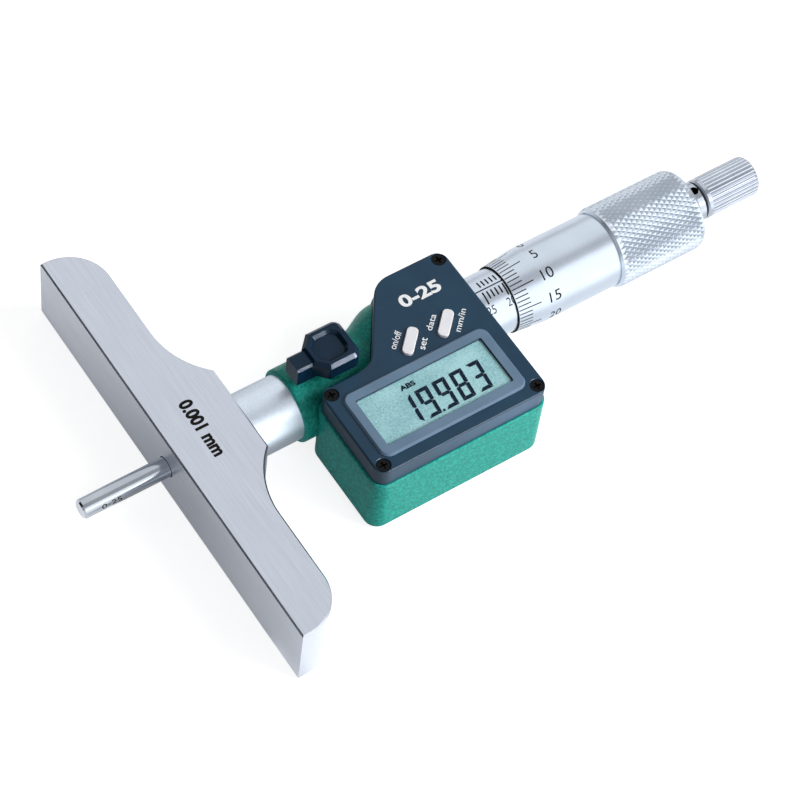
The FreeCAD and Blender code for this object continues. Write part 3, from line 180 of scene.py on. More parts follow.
# Ground, blasted and moulded grain is a few hundredths of a millimetre across. It is drawn 0.1 to
# 0.3 mm across, so that it shows. A finish that isn't METAL keeps the shader's metallic of 0.
PLAIN_FINISHES = {
    # Hardened tool steel, surface ground along its length: fine straight lines, soft broken shine.
    "ground_steel": dict(
        colours=("#B3B9C4", "#BBC1CC"), gloss=(0.27, 0.36),
        patch=(0.3, 14, 0.3), grain=(0.2, 12, 0.2),
        depth=0.004, strength=0.35, sockets={"Metallic": 1.0, "Anisotropic": 0.3}),
    # Chrome plated over blasted steel: an even silky shine with a very fine grain.
    "satin_chrome": dict(
        colours=("#BCC6D3", "#C1CBD7"), gloss=(0.26, 0.34), patch=6, grain=0.16,
        depth=0.003, strength=0.3, sockets=METAL),
    # The same satin chrome on the front sleeve, blasted coarser.
    "blasted_chrome": dict(
        colours=("#C6D0DD", "#CED8E3"), gloss=(0.36, 0.46), patch=0.5, grain=0.2,
        depth=0.004, strength=0.4, sockets=METAL),
    # Chrome on turned steel: bright and smooth, with faint rings round the axis.
    "bright_chrome": dict(
        colours=("#A6ADB8", "#AFB6C1"), gloss=(0.13, 0.19), patch=5, grain=(0.3, FAR, FAR),
        depth=0.001, strength=0.15, sockets=METAL),
    # Chrome over the rolled knurl: the rollers leave its flanks smoother than the blasted steel.
    "knurled_chrome": dict(
        colours=("#BAC4D0", "#C2CBD7"), gloss=(0.15, 0.22), patch=5, grain=0.3,
        depth=0.001, strength=0.2, sockets=METAL),
    # Centreless ground and lapped rod: almost a mirror along its length, a soft grain round it.
    "polished_steel": dict(
        colours=("#A0A6AF", "#ABB1BA"), gloss=(0.11, 0.17), patch=(6, 3, 3), grain=(0.2, FAR, FAR),
        depth=0.001, strength=0.2, sockets=METAL),
    # Turned and ground carbon steel: fine rings round the axis under a film of oil.
    "bright_steel": dict(
        colours=("#A3A6AB", "#AFB2B7"), gloss=(0.2, 0.34), patch=4, grain=(0.12, FAR, FAR),
        depth=0.003, strength=0.4, sockets=METAL),
    # Deep drawn stainless steel of a button cell: faint straight rolling lines.
    "cell_steel": dict(
        colours=("#B0B1B3", "#BDBEC0"), gloss=(0.22, 0.34), patch=4, grain=(0.1, 5, 5),
        depth=0.002, strength=0.3, sockets=METAL),
    # Stamped and turned brass: warm, slightly dulled where it has been handled.
    "brass": dict(
        colours=("#B8924A", "#C9A55C"), gloss=(0.25, 0.4), patch=2, grain=0.1,
        depth=0.002, strength=0.3, sockets=METAL),
    # Moulded nitrile rubber: matt, with a bloom of lighter dust.
    "black_rubber": dict(
        colours=("#16171A", "#1E2024"), gloss=(0.7, 0.9), patch=3, grain=0.15,
        depth=0.01, strength=0.4, sockets={}),
    # Moulded ABS cover: fine spark-eroded texture, silky dark slate blue.
    "slate_plastic": dict(
        colours=("#16364C", "#1B3D54"), gloss=(0.36, 0.46), patch=8, grain=0.14,
        depth=0.006, strength=0.4, sockets={"Specular IOR Level": 0.25}),
    # Moulded ABS frame round the display: the same resin in a lighter grey blue, smoother.
    "bezel_plastic": dict(
        colours=("#5F7992", "#68829B"), gloss=(0.30, 0.40), patch=8, grain=0.12,
        depth=0.004, strength=0.35, sockets={"Specular IOR Level": 0.4}),
    # Glass-filled nylon of the clamp lever: dense dark blue, half gloss, faint flow marks.
    "navy_plastic": dict(
        colours=("#0B2438", "#102B41"), gloss=(0.10, 0.16), patch=(3, 6, 3), grain=0.2,
        depth=0.002, strength=0.2, sockets={"Specular IOR Level": 0.13}),
    # Moulded silicone-feel caps of the buttons: smooth, nearly white.
    "white_button": dict(
        colours=("#ECECF2", "#F3F3F8"), gloss=(0.35, 0.45), patch=4, grain=0.3,
        depth=0.003, strength=0.2, sockets={}),
    # Black oxide on small steel screws: oily black with grey where the driver has rubbed.
    "black_screw": dict(
        colours=("#020304", "#090A0D"), gloss=(0.25, 0.4), patch=0.7, grain=0.1,
        depth=0.004, strength=0.4, sockets={"Specular IOR Level": 0.12}),
    # Etched and filled marks of the scales: dull brown black, a little uneven.
    "scale_ink": dict(
        colours=("#0C0A0A", "#191513"), gloss=(0.5, 0.7), patch=0.5, grain=0.08,
        depth=0.002, strength=0.3, sockets={"Specular IOR Level": 0.12}),
    # Pad printed white ink on the cover: opaque, faintly grainy.
    "print_ink": dict(
        colours=("#F8F9FB", "#FCFCFE"), gloss=(0.5, 0.65), patch=0.6, grain=0.1,
        depth=0.002, strength=0.3, sockets={}),
    # Switched segments of the display: deep blue black.
    "display_ink": dict(
        colours=("#07162A", "#0B1D33"), gloss=(0.4, 0.5), patch=0.5, grain=0.08,
        depth=0.001, strength=0.2, sockets={"Specular IOR Level": 0.1}),
}
# The bright chrome of the thimble's cap, with painted shade inside its drilled hole.
CAP_HOLE = (132.85, 1.0, 4.45)     # its x, radius and top
PLAIN_FINISHES["shaded_hole_chrome"] = dict(PLAIN_FINISHES["bright_chrome"], hole_shade=CAP_HOLE)


def hammered_enamel(colours):
    """Sprayed and stoved enamel on cast zinc: a glossy skin over small drawn-up cells."""
    material, tree, shader = blank("hammered_enamel", {
        "Metallic": 0.0, "Specular IOR Level": 0.05, "Coat Weight": 0.12, "Coat Roughness": 0.12})
    place = add(tree, "ShaderNodeTexCoord").outputs["Object"]
    cell = 1000.0 / 0.62   # cells 0.62 mm wide, as the sprayed coat draws them
    place = add(tree, "ShaderNodeMapping", {"Vector": place, "Scale": (cell, cell, cell)})
    cells = add(tree, "ShaderNodeTexVoronoi",
                {"Vector": place.outputs["Vector"], "Scale": 1.0, "Smoothness": 0.7},
                feature="SMOOTH_F1")
    cloud = cloudy(tree, 1.5, 5.0)
    depth = add(tree, "ShaderNodeMath", {0: cells.outputs["Distance"], 1: cloud},
                operation="MULTIPLY").outputs["Value"]
    tree.links.new(tinted(tree, depth, 0.08, 0.38, *map(colour_of, colours)),
                   shader.inputs["Base Color"])
    roughened(tree, shader, cloud, 0.32, 0.46)
    embossed(tree, shader, depth, 0.04, 0.7, ("Normal", "Coat Normal"))
    return material


def liquid_crystal(colours):
    """Reflective liquid crystal under its film: pale blue green with a fine sparkle."""
    material, tree, shader = blank("liquid_crystal",
                                   {"Metallic": 0.0, "Specular IOR Level": 0.15})
    sparkle = cloudy(tree, 0.5, 3.0)
    drift = cloudy(tree, 9, 2.0)
    both = add(tree, "ShaderNodeMath", {0: sparkle, 1: drift}, operation="ADD")
    tree.links.new(tinted(tree, both.outputs["Value"], 0.8, 1.2, *map(colour_of, colours)),
                   shader.inputs["Base Color"])
    roughened(tree, shader, sparkle, 0.35, 0.5)
    return material


def clear_pane():
    """Polished acrylic window: nearly invisible, with a faint gleam and haze of wiping."""
    material, tree, shader = blank("clear_pane", {
        "Metallic": 0.0, "Alpha": 0.03, "IOR": 1.49, "Base Color": linear("#5A7074")})
    roughened(tree, shader, cloudy(tree, (6, 2, 6), 4.0), 0.05, 0.12)
    return material


def board_laminate():
    """Glass-epoxy board under green solder resist, with lighter copper areas showing through."""
    material, tree, shader = blank("board_laminate", {"Metallic": 0.0})
    place = add(tree, "ShaderNodeTexCoord").outputs["Object"]
    # tracks about 2.2 mm by 1.4 mm
    place = add(tree, "ShaderNodeMapping",
                {"Vector": place, "Scale": (1000.0 / 2.2, 1000.0 / 1.4, 1000.0 / 2.2)})
    tracks = add(tree, "ShaderNodeTexBrick", {
        "Vector": place.outputs["Vector"], "Scale": 1.0, "Mortar Size": 0.06,
        "Color1": linear("#14583A"), "Color2": linear("#1B6B46"), "Mortar": linear("#0D3D29")})
    tree.links.new(tracks.outputs["Color"], shader.inputs["Base Color"])
    roughened(tree, shader, cloudy(tree, 0.5, 3.0), 0.3, 0.45)
    embossed(tree, shader, tracks.outputs["Fac"], 0.03, 0.5)
    return material


FINISH = {}

NODE_FINISH = {
    "ground_steel": ["base"],
    "polished_steel": ["measuring_rod"],
    "satin_chrome": ["graduated_sleeve", "thimble"],
    "blasted_chrome": ["front_sleeve"],
    "shaded_hole_chrome": ["thimble_cap"],
    "bright_chrome": ["ratchet_knob"],
    "bright_steel": ["lock_screw", "threaded_barrel", "adjusting_nut", "drive_key", "spindle",
                     "rod_nuts", "ratchet_wheel", "ratchet_pawl", "ratchet_spring", "shaft_clip"],
    "cell_steel": ["battery"],
    "brass": ["battery_contact", "lock_shoe"],
    "black_rubber": ["rod_seal", "cover_gasket", "lcd_connectors", "button_pad", "battery_seal"],
    "hammered_enamel": ["housing"],
    "slate_plastic": ["front_cover", "battery_cap"],
    "bezel_plastic": ["display_bezel"],
    "navy_plastic": ["lock_lever"],
    "white_button": ["on_off_button", "unit_button", "stator_spacer"],
    "black_screw": ["cover_screws"],
    "liquid_crystal": ["lcd_panel"],
    "clear_pane": ["display_window"],
    "board_laminate": ["circuit_board", "encoder_rotor", "encoder_stator"],
}


def give(piece, finish):
    """Puts one finish on a piece, in place of whatever it had."""
    piece.data.materials.clear()
    piece.data.materials.append(FINISH[finish])


# ---------------------------------------------------------------- modelling helpers

def deselect():
    """Leaves object mode with nothing selected."""
    if bpy.context.object and bpy.context.object.mode != "OBJECT":
        bpy.ops.object.mode_set(mode="OBJECT")
    bpy.ops.object.select_all(action="DESELECT")


def select(*pieces):
    """Selects just these pieces; the first is the active one."""
    deselect()
    for piece in pieces:
        piece.select_set(True)
    bpy.context.view_layer.objects.active = pieces[0]


def apply(piece, kind, **settings):
    """Adds a modifier, sets it and applies it."""
    select(piece)
    modifier = piece.modifiers.new(kind.title(), kind)
    for key, value in settings.items():
        setattr(modifier, key, value)
    bpy.ops.object.modifier_apply(modifier=modifier.name)


def joined(pieces):
    """Several pieces as one mesh."""
    select(*pieces)
    if len(pieces) > 1:
        bpy.ops.object.join()
    return bpy.context.object


def settle(piece, name, body, finish, smooth=None):
    """Names a finished piece, puts its place into its mesh, and gives it finish and body."""
    select(piece)
    bpy.ops.object.transform_apply(location=True, rotation=True, scale=True)
    if smooth is None:
        bpy.ops.object.shade_flat()
    else:
        bpy.ops.object.shade_smooth_by_angle(angle=math.radians(smooth))
    piece.name = piece.data.name = name
    give(piece, finish)
    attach(piece, body)
    deselect()
    return piece


def flat_shape(corners):
    """A flat polygon through corners, in mm, drawn from a circle of as many points."""
    deselect()
    bpy.ops.mesh.primitive_circle_add(vertices=len(corners), fill_type="NGON")
    shape = bpy.context.object
    for vertex, (x, y) in zip(shape.data.vertices, corners):
        vertex.co = (x * MM, y * MM, 0)
    return shape


def flat_bar(x0, y0, x1, y1):
    """A flat rectangle between two corners, in mm."""
    return flat_shape([(x0, y0), (x1, y0), (x1, y1), (x0, y1)])


def flat_text(text, length, height, weight=0.0):
    """Flat lettering of a real length and height in mm, centred on the origin.

    weight thickens the strokes, as a share of the font's size.
    """
    deselect()
    bpy.ops.object.text_add()
    letters = bpy.context.object
    letters.data.body = text
    letters.data.resolution_u = 5
    letters.data.offset = weight
    bpy.ops.object.convert(target="MESH")
    letters = bpy.context.object
    points = [v.co for v in letters.data.vertices]
    low = Vector([min(p[i] for p in points) for i in range(2)])
    high = Vector([max(p[i] for p in points) for i in range(2)])
    middle = (low + high) / 2
    for p in points:
        p.x = (p.x - middle.x) / (high.x - low.x) * length * MM
        p.y = (p.y - middle.y) / (high.y - low.y) * height * MM
        p.z = 0
    return letters


def moved(piece, x, y, z=0.0, turn=0.0):
    """Turns a flat piece about its origin and moves it, in mm and degrees."""
    piece.data.transform(Matrix.Translation(Vector((x, y, z)) * MM)
                         @ Matrix.Rotation(math.radians(turn), 4, "Z"))
    return piece


def sliced(piece, step):
    """Cuts a flat piece across y, every step mm, so that it can bend round an axis."""
    ys = [v.co.y for v in piece.data.vertices]
    low, high = min(ys), max(ys)
    select(piece)
    bpy.ops.object.mode_set(mode="EDIT")
    for k in range(1, int((high - low) / (step * MM)) + 1):
        bpy.ops.mesh.select_all(action="SELECT")
        bpy.ops.mesh.bisect(plane_co=(0, low + k * step * MM, 0), plane_no=(0, 1, 0))
    bpy.ops.object.mode_set(mode="OBJECT")
    return piece


def wrapped(piece, radius, reference):
    """Bends a flat piece round the spindle axis: x stays, y runs round from the top towards +Y.

    radius gives the radius at an x, and reference is the radius at which y is measured, in mm.
    """
    for vertex in piece.data.vertices:
        x, y, z = vertex.co
        angle = math.pi / 2 - y / (reference * MM)
        reach = radius(x / MM) * MM + z
        vertex.co = (x, reach * math.cos(angle), reach * math.sin(angle))
    piece.data.update()
    return piece


def inked(piece, thickness):
    """Gives flat artwork a body that reaches down into what carries it."""
    apply(piece, "SOLIDIFY", thickness=thickness * MM, offset=-1.0)
    return piece


# ---------------------------------------------------------------- sizes and colours

LENGTH = {"unit": "LENGTH", "precision": 5}
COLOUR = {"subtype": "COLOR", "size": 3}


class MicrometerSizes(bpy.types.PropertyGroup):
    """Sizes that change how the scales, the knurl and the display read."""
    sleeve_line: FloatProperty(
        name="Sleeve line", description="Width of the sleeve's lines",
        default=0.37 * MM, **LENGTH)
    thimble_line: FloatProperty(
        name="Thimble line", description="Width of the thimble's lines",
        default=0.24 * MM, **LENGTH)
    numeral_height: FloatProperty(
        name="Sleeve numerals", description="Height of the sleeve's numerals",
        default=1.9 * MM, **LENGTH)
    thimble_numeral: FloatProperty(
        name="Thimble numerals", description="Height of the thimble's numerals",
        default=2.45 * MM, **LENGTH)
    knurl_around: IntProperty(
        name="Knurl points around", description="Grid points of the knurl round the grip",
        default=96)
    knurl_along: IntProperty(
        name="Knurl points along", description="Grid points of the knurl along the grip",
        default=21)
    knurl_depth: FloatProperty(
        name="Knurl depth", description="Height of the knurl's points",
        default=0.34 * MM, **LENGTH)
    digit_height: FloatProperty(
        name="Display digits", description="Height of the display's digits",
        default=7.05 * MM, **LENGTH)
    segment_width: FloatProperty(
        name="Display segment", description="Width of a display segment",
        default=0.8 * MM, **LENGTH)
    reading: StringProperty(
        name="Reading", description="Digits shown on the display", default="19.983")


class MicrometerColours(bpy.types.PropertyGroup):
    """Colours that set the look of the housing, the display and the studio."""
    enamel_low: FloatVectorProperty(
        name="Enamel, low", description="Enamel in the dimples",
        default=linear("#1A9284")[:3], **COLOUR)
    enamel_high: FloatVectorProperty(
        name="Enamel, high", description="Enamel between the dimples",
        default=linear("#33B4A6")[:3], **COLOUR)
    crystal_low: FloatVectorProperty(
        name="Display, dark", description="Darker grain of the display",
        default=linear("#94C8CF")[:3], **COLOUR)
    crystal_high: FloatVectorProperty(
        name="Display, light", description="Lighter grain of the display",
        default=linear("#BAEAEF")[:3], **COLOUR)
    sky: FloatVectorProperty(
        name="Studio", description="Colour of the studio's walls",
        default=linear("#FFFFFF")[:3], **COLOUR)


def size_settings():
    """The sizes in the sidebar."""
    return bpy.context.scene.micrometer_sizes


def colour_settings():
    """The colours in the sidebar."""
    return bpy.context.scene.micrometer_colours


# ---------------------------------------------------------------- pieces

class MICROMETER_OT_finishes(bpy.types.Operator):
    """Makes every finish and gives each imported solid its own"""
    bl_idname = "micrometer.finishes"
    bl_label = "Finishes"

    def execute(self, context):
        for name, settings in PLAIN_FINISHES.items():
            FINISH[name] = surface(name, **settings)
        c = colour_settings()
        FINISH["hammered_enamel"] = hammered_enamel((c.enamel_low, c.enamel_high))
        FINISH["liquid_crystal"] = liquid_crystal((c.crystal_low, c.crystal_high))
        FINISH["clear_pane"] = clear_pane()
        FINISH["board_laminate"] = board_laminate()
        dressed = set()
        for finish, names in NODE_FINISH.items():
            for name in names:
                give(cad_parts[name], finish)
                dressed.add(name)
        if dressed != set(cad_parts):
            raise RuntimeError(f"no finish for {sorted(set(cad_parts) - dressed)}")
        return {"FINISHED"}


GRIP_START, GRIP_END = 108.45, 129.6
GRIP_VALLEY = 9.06         # radius at the bottom of the knurl
GRIP_INSIDE = 8.9          # radius of the knurl's hidden inner wall
KNURL_TIP = 0.16           # how far the tip of each point is cut back


class MICROMETER_OT_knurl(bpy.types.Operator):
    """Cuts the diamond knurl of the thimble's grip"""
    bl_idname = "micrometer.knurl"
    bl_label = "Knurl"

    def execute(self, context):
        s = size_settings()
        around, along = s.knurl_around, s.knurl_along
        deselect()
        bpy.ops.mesh.primitive_grid_add(x_subdivisions=along, y_subdivisions=around, size=1)
        grip = bpy.context.object
        pitch = 2 * math.pi / around
        step = (GRIP_END - GRIP_START) / along
        for vertex in grip.data.vertices:
            i = round((vertex.co.x + 0.5) * along)
            j = round((vertex.co.y + 0.5) * around)
            raised = (i + j) % 2 == 0 and 0 < i < along
            reach = GRIP_VALLEY * MM + (s.knurl_depth if raised else 0)
            angle = math.pi / 2 - j * pitch
            vertex.co = ((GRIP_START + i * step) * MM,
                         reach * math.cos(angle), reach * math.sin(angle))
        select(grip)
        bpy.ops.object.mode_set(mode="EDIT")
        bpy.ops.mesh.select_all(action="SELECT")
        bpy.ops.mesh.remove_doubles(threshold=CLOSE * MM)
        bpy.ops.mesh.quads_convert_to_tris(quad_method="SHORTEST_DIAGONAL")
        bpy.ops.mesh.select_all(action="DESELECT")
        bpy.ops.object.mode_set(mode="OBJECT")
        top = (GRIP_VALLEY * MM + s.knurl_depth) - CLOSE * MM
        for vertex in grip.data.vertices:
            vertex.select = math.hypot(vertex.co.y, vertex.co.z) > top
        bpy.ops.object.mode_set(mode="EDIT")
        bpy.ops.mesh.select_mode(type="VERT")
        bpy.ops.mesh.bevel(offset=KNURL_TIP * MM, affect="VERTICES")
        bpy.ops.mesh.select_all(action="DESELECT")
        bpy.ops.mesh.select_non_manifold(
            extend=False, use_boundary=True, use_wire=False,
            use_multi_face=False, use_non_contiguous=False, use_verts=False)
        bpy.ops.mesh.extrude_edges_move()
        inward = GRIP_INSIDE / GRIP_VALLEY
        bpy.ops.transform.resize(value=(1, inward, inward), center_override=(0, 0, 0))
        bpy.ops.mesh.bridge_edge_loops()
        bpy.ops.mesh.select_all(action="SELECT")
        bpy.ops.mesh.normals_make_consistent(inside=False)
        bpy.ops.object.mode_set(mode="OBJECT")
        settle(grip, "thimble_knurl", "spindle_group", "knurled_chrome")
        return {"FINISHED"}


MARK_PROUD = 0.012         # ink above the metal
MARK_BODY = 0.08           # ink's thickness down into it

SLEEVE_RADIUS = 7.33
SLEEVE_ZERO = 101.28       # x at which the scale ends at 0
SLEEVE_SPAN = 25           # millimetres on the scale
SLEEVE_START = 73.4        # where the long line starts, under the cover
LONG_LINE_PAST = 0.72      # how far the long line runs on past 0
LONG_LINE_SHARE = 0.75     # its width, in widths of the other lines
# where a line starts and ends, from the long line: towards +Y above it, towards -Y below it
FIVES_LINE = (-0.58, -3.46)
ONES_LINE = (-0.68, -2.5)
HALVES_LINE = (0.69, 2.3)
SLEEVE_NUMERAL = -3.9      # the numerals' near edge
SLEEVE_NUMERAL_LENGTH = {1: 0.95, 2: 2.05}     # by the count of digits
SLEEVE_SLICE = 0.3         # height of one flat strip of the bent scale


class MICROMETER_OT_sleeve_scale(bpy.types.Operator):
    """Draws the sleeve's millimetre scale with its numerals"""
    bl_idname = "micrometer.sleeve_scale"
    bl_label = "Sleeve scale"

    def execute(self, context):
        s = size_settings()
        half = s.sleeve_line / MM / 2
        height = s.numeral_height / MM
        slim = half * LONG_LINE_SHARE
        art = [flat_bar(SLEEVE_START, -slim, SLEEVE_ZERO + LONG_LINE_PAST, slim)]
        for n in range(SLEEVE_SPAN + 1):
            x = SLEEVE_ZERO - n
            start, end = FIVES_LINE if n % 5 == 0 else ONES_LINE
            art.append(flat_bar(x - half, end, x + half, start))
            if n < SLEEVE_SPAN:
                art.append(flat_bar(x - 0.5 - half, HALVES_LINE[0],
                                    x - 0.5 + half, HALVES_LINE[1]))
        for n in range(0, SLEEVE_SPAN + 1, 5):
            text = str(n)
            art.append(moved(flat_text(text, SLEEVE_NUMERAL_LENGTH[len(text)], height),
                             SLEEVE_ZERO - n, SLEEVE_NUMERAL - height / 2))
        scale = wrapped(sliced(joined(art), SLEEVE_SLICE),
                        lambda x: SLEEVE_RADIUS + MARK_PROUD, SLEEVE_RADIUS)
        settle(inked(scale, MARK_BODY), "sleeve_scale", "frame", "scale_ink")
        return {"FINISHED"}


BEVEL_START, BEVEL_END = 81.9, 89.3
BEVEL_NOSE, THIMBLE_RADIUS = 7.675, 8.5
THIMBLE_LINES = 50
THIMBLE_ZERO = 42.0        # degrees from +Y over the top
THIMBLE_LINE_START = 0.2   # from the bevel's start
THIMBLE_FIVES_END, THIMBLE_ONES_END = 87.4, 85.15
THIMBLE_NUMERAL = 90.9     # x of the numerals' middle
THIMBLE_NUMERAL_LENGTH = {1: 1.3, 2: 2.8}      # by the count of digits
THIMBLE_SLICE = 0.35       # height of one flat strip of the bent scale


def thimble_radius(x):
    """Outer radius of the thimble's ink at x."""
    share = min(max((x - BEVEL_START) / (BEVEL_END - BEVEL_START), 0), 1)
    return BEVEL_NOSE + (THIMBLE_RADIUS - BEVEL_NOSE) * share + MARK_PROUD


class MICROMETER_OT_thimble_scale(bpy.types.Operator):
    """Draws the thimble's fifty lines and their numerals"""
    bl_idname = "micrometer.thimble_scale"
    bl_label = "Thimble scale"

    def execute(self, context):
        s = size_settings()
        half = s.thimble_line / MM / 2
        art = []
        for n in range(THIMBLE_LINES):
            middle = math.radians(90 - THIMBLE_ZERO - n * 360 / THIMBLE_LINES) * THIMBLE_RADIUS
            end = THIMBLE_FIVES_END if n % 5 == 0 else THIMBLE_ONES_END
            art.append(flat_bar(BEVEL_START + THIMBLE_LINE_START, middle - half,
                                end, middle + half))
            if n % 5 == 0:
                text = str(n)
                art.append(moved(flat_text(text, THIMBLE_NUMERAL_LENGTH[len(text)],
                                           s.thimble_numeral / MM), THIMBLE_NUMERAL, middle))
        scale = wrapped(sliced(joined(art), THIMBLE_SLICE), thimble_radius, THIMBLE_RADIUS)
        settle(inked(scale, MARK_BODY), "thimble_scale", "spindle_group",
               "scale_ink")
        return {"FINISHED"}


# ring: inner and outer radius, start and end along the spindle, its body, slot and finish
RINGS = {
    # painted shade: a black ring over the thimble's nose, where the gap to the sleeve lies in
    # shade
    "thimble_nose_shade": (7.45, 7.7, 81.76, 81.96, "spindle_group", "satin_chrome", "scale_ink"),
    # painted shade: a black ring that fills the gap between the thimble's cap and the knob, where
    # shade falls
    "knob_gap_shade": (3.0, 4.3, 134.24, 134.56, "spindle_group", "black_rubber", "black_rubber"),
}


class MICROMETER_OT_rings(bpy.types.Operator):
    """Adds two black rings of painted shade: in the gap at the thimble's nose and in the gap
    before the knob
    """
    bl_idname = "micrometer.rings"
    bl_label = "Black rings"

    def execute(self, context):
        for name, (inner, outer, start, end, body, slot, finish) in RINGS.items():
            deselect()
            bpy.ops.mesh.primitive_circle_add(
                vertices=128, radius=inner * MM, location=(start * MM, 0, 0),
                rotation=(0, math.pi / 2, 0))
            ring = bpy.context.object
            bpy.ops.object.transform_apply(location=True, rotation=True, scale=True)
            bpy.ops.object.mode_set(mode="EDIT")
            bpy.ops.mesh.select_all(action="SELECT")
            bpy.ops.mesh.extrude_edges_move()
            bpy.ops.transform.resize(value=(1, outer / inner, outer / inner),
                                     center_override=(start * MM, 0, 0))
            bpy.ops.object.mode_set(mode="OBJECT")
            apply(ring, "SOLIDIFY", thickness=(end - start) * MM, offset=0.0)
            for vertex in ring.data.vertices:
                vertex.co.x += (end - start) / 2 * MM
            select(ring)
            bpy.ops.object.mode_set(mode="EDIT")
            bpy.ops.mesh.select_all(action="SELECT")
            bpy.ops.mesh.normals_make_consistent(inside=False)
            bpy.ops.object.mode_set(mode="OBJECT")
            settle(ring, name, body, finish, smooth=30)
        return {"FINISHED"}


COVER_TOP = 12.0
# word: start and end of its baseline, x and y, and its height
COVER_WORDS = {
    "on/off": ((50.67, -5.85), (54.17, -2.87), 1.5),
    "set": ((55.81, -8.9), (57.94, -6.77), 1.2),
    "data": ((59.63, -5.71), (62.69, -2.9), 1.35),
    "mm/in": ((64.61, -8.92), (68.79, -4.81), 1.35),
}
RANGE_PLACE = (57.7, 1.8, 67.5, 4.9)           # two corners, x and y
WORD_WEIGHT, RANGE_WEIGHT = 0.006, 0.035


class MICROMETER_OT_cover_words(bpy.types.Operator):
    """Prints the plain words beside the buttons and the range on the cover"""
    bl_idname = "micrometer.cover_words"
    bl_label = "Cover words"

    def execute(self, context):
        art = []
        for word, (start, end, height) in COVER_WORDS.items():
            start, end = Vector(start), Vector(end)
            along = (end - start).normalized()
            middle = (start + end) / 2 + Vector((-along.y, along.x)) * height / 2
            turn = math.degrees(math.atan2(along.y, along.x))
            art.append(moved(flat_text(word, (end - start).length, height, WORD_WEIGHT),
                             middle.x, middle.y, COVER_TOP + MARK_PROUD, turn))
        x0, y0, x1, y1 = RANGE_PLACE
        art.append(moved(flat_text("0-25", x1 - x0, y1 - y0, RANGE_WEIGHT),
                         (x0 + x1) / 2, (y0 + y1) / 2, COVER_TOP + MARK_PROUD))
        settle(inked(joined(art), MARK_BODY), "cover_words", "frame",
               "print_ink")
        return {"FINISHED"}


CRYSTAL_TOP = 11.95
SEGMENTS = {"0": "abcdef", "1": "bc", "2": "abged", "3": "abgcd", "4": "fgbc", "5": "afgcd",
            "6": "afgedc", "7": "abc", "8": "abcdefg", "9": "abcdfg"}
FIRST_DIGIT = 45.25        # x of the first digit's middle
DIGIT_PITCH = 4.17
DIGIT_MIDDLE = -19.73      # y of the row's middle
DIGIT_WIDTH = 3.0
DIGIT_SLANT = 0.107        # x gained for each y
SEGMENT_GAP = 0.07
SEGMENT_NICK = 0.12        # cut off an upright segment's corner at the waist
POINT_SIZE = 0.54
DIGIT_PROUD, DIGIT_BODY = 0.03, 0.05
SMALL_WORD = ("ABS", 3.6, 1.25, 0.05)          # text, length, height and weight
SMALL_WORD_PLACE = (47.87, -14.32)


def segment_shapes(height, width):
    """The seven segments of one digit, as outlines in mm round its centre."""
    w, h, t, g, n = DIGIT_WIDTH / 2, height / 2, width, SEGMENT_GAP, SEGMENT_NICK
    m = t / 2
    return {
        "a": [(-w + g, h), (w - g, h), (w - t, h - t), (-w + t, h - t)],
        "d": [(-w + t, -h + t), (w - t, -h + t), (w - g, -h), (-w + g, -h)],
        "b": [(w, h - g), (w, g + n), (w - m, g), (w - t, m + g), (w - t, h - t - g)],
        "c": [(w - t, -h + t + g), (w - t, -m - g), (w - m, -g), (w, -g - n), (w, -h + g)],
        "f": [(-w, g + n), (-w, h - g), (-w + t, h - t - g), (-w + t, m + g), (-w + m, g)],
        "e": [(-w, -h + g), (-w, -g - n), (-w + m, -g), (-w + t, -m - g), (-w + t, -h + t + g)],
        "g": [(-w + m + g, 0), (-w + t, -m), (w - t, -m), (w - m - g, 0), (w - t, m),
              (-w + t, m)],
    }


class MICROMETER_OT_display(bpy.types.Operator):
    """Switches on the display's digits and its small word"""
    bl_idname = "micrometer.display"
    bl_label = "Display digits"

    def execute(self, context):
        s = size_settings()
        height, width = s.digit_height / MM, s.segment_width / MM
        shapes = segment_shapes(height, width)
        art = []
        x = FIRST_DIGIT
        for mark in s.reading:
            if mark == ".":
                middle = x - DIGIT_PITCH / 2
                art.append(flat_bar(middle - POINT_SIZE / 2, -height / 2,
                                    middle + POINT_SIZE / 2, -height / 2 + POINT_SIZE))
                continue
            for key in SEGMENTS[mark]:
                art.append(flat_shape([(x + px, py) for px, py in shapes[key]]))
            x += DIGIT_PITCH
        digits = joined(art)
        for vertex in digits.data.vertices:
            vertex.co.x += vertex.co.y * DIGIT_SLANT
        moved(digits, 0, DIGIT_MIDDLE)
        word = moved(flat_text(*SMALL_WORD), *SMALL_WORD_PLACE)
        digits = moved(joined([digits, word]), 0, 0, CRYSTAL_TOP + DIGIT_PROUD)
        settle(inked(digits, DIGIT_BODY), "display_digits", "frame", "display_ink")
        return {"FINISHED"}


PANE_GAP = 0.06            # between the pane and the display under it
PANE_CORNER, PANE_CORNER_STEPS = 0.5, 4
PANE_BEVEL, PANE_BEVEL_STEPS = 0.12, 2
UPRIGHT = 0.1              # rise from which an edge counts as upright


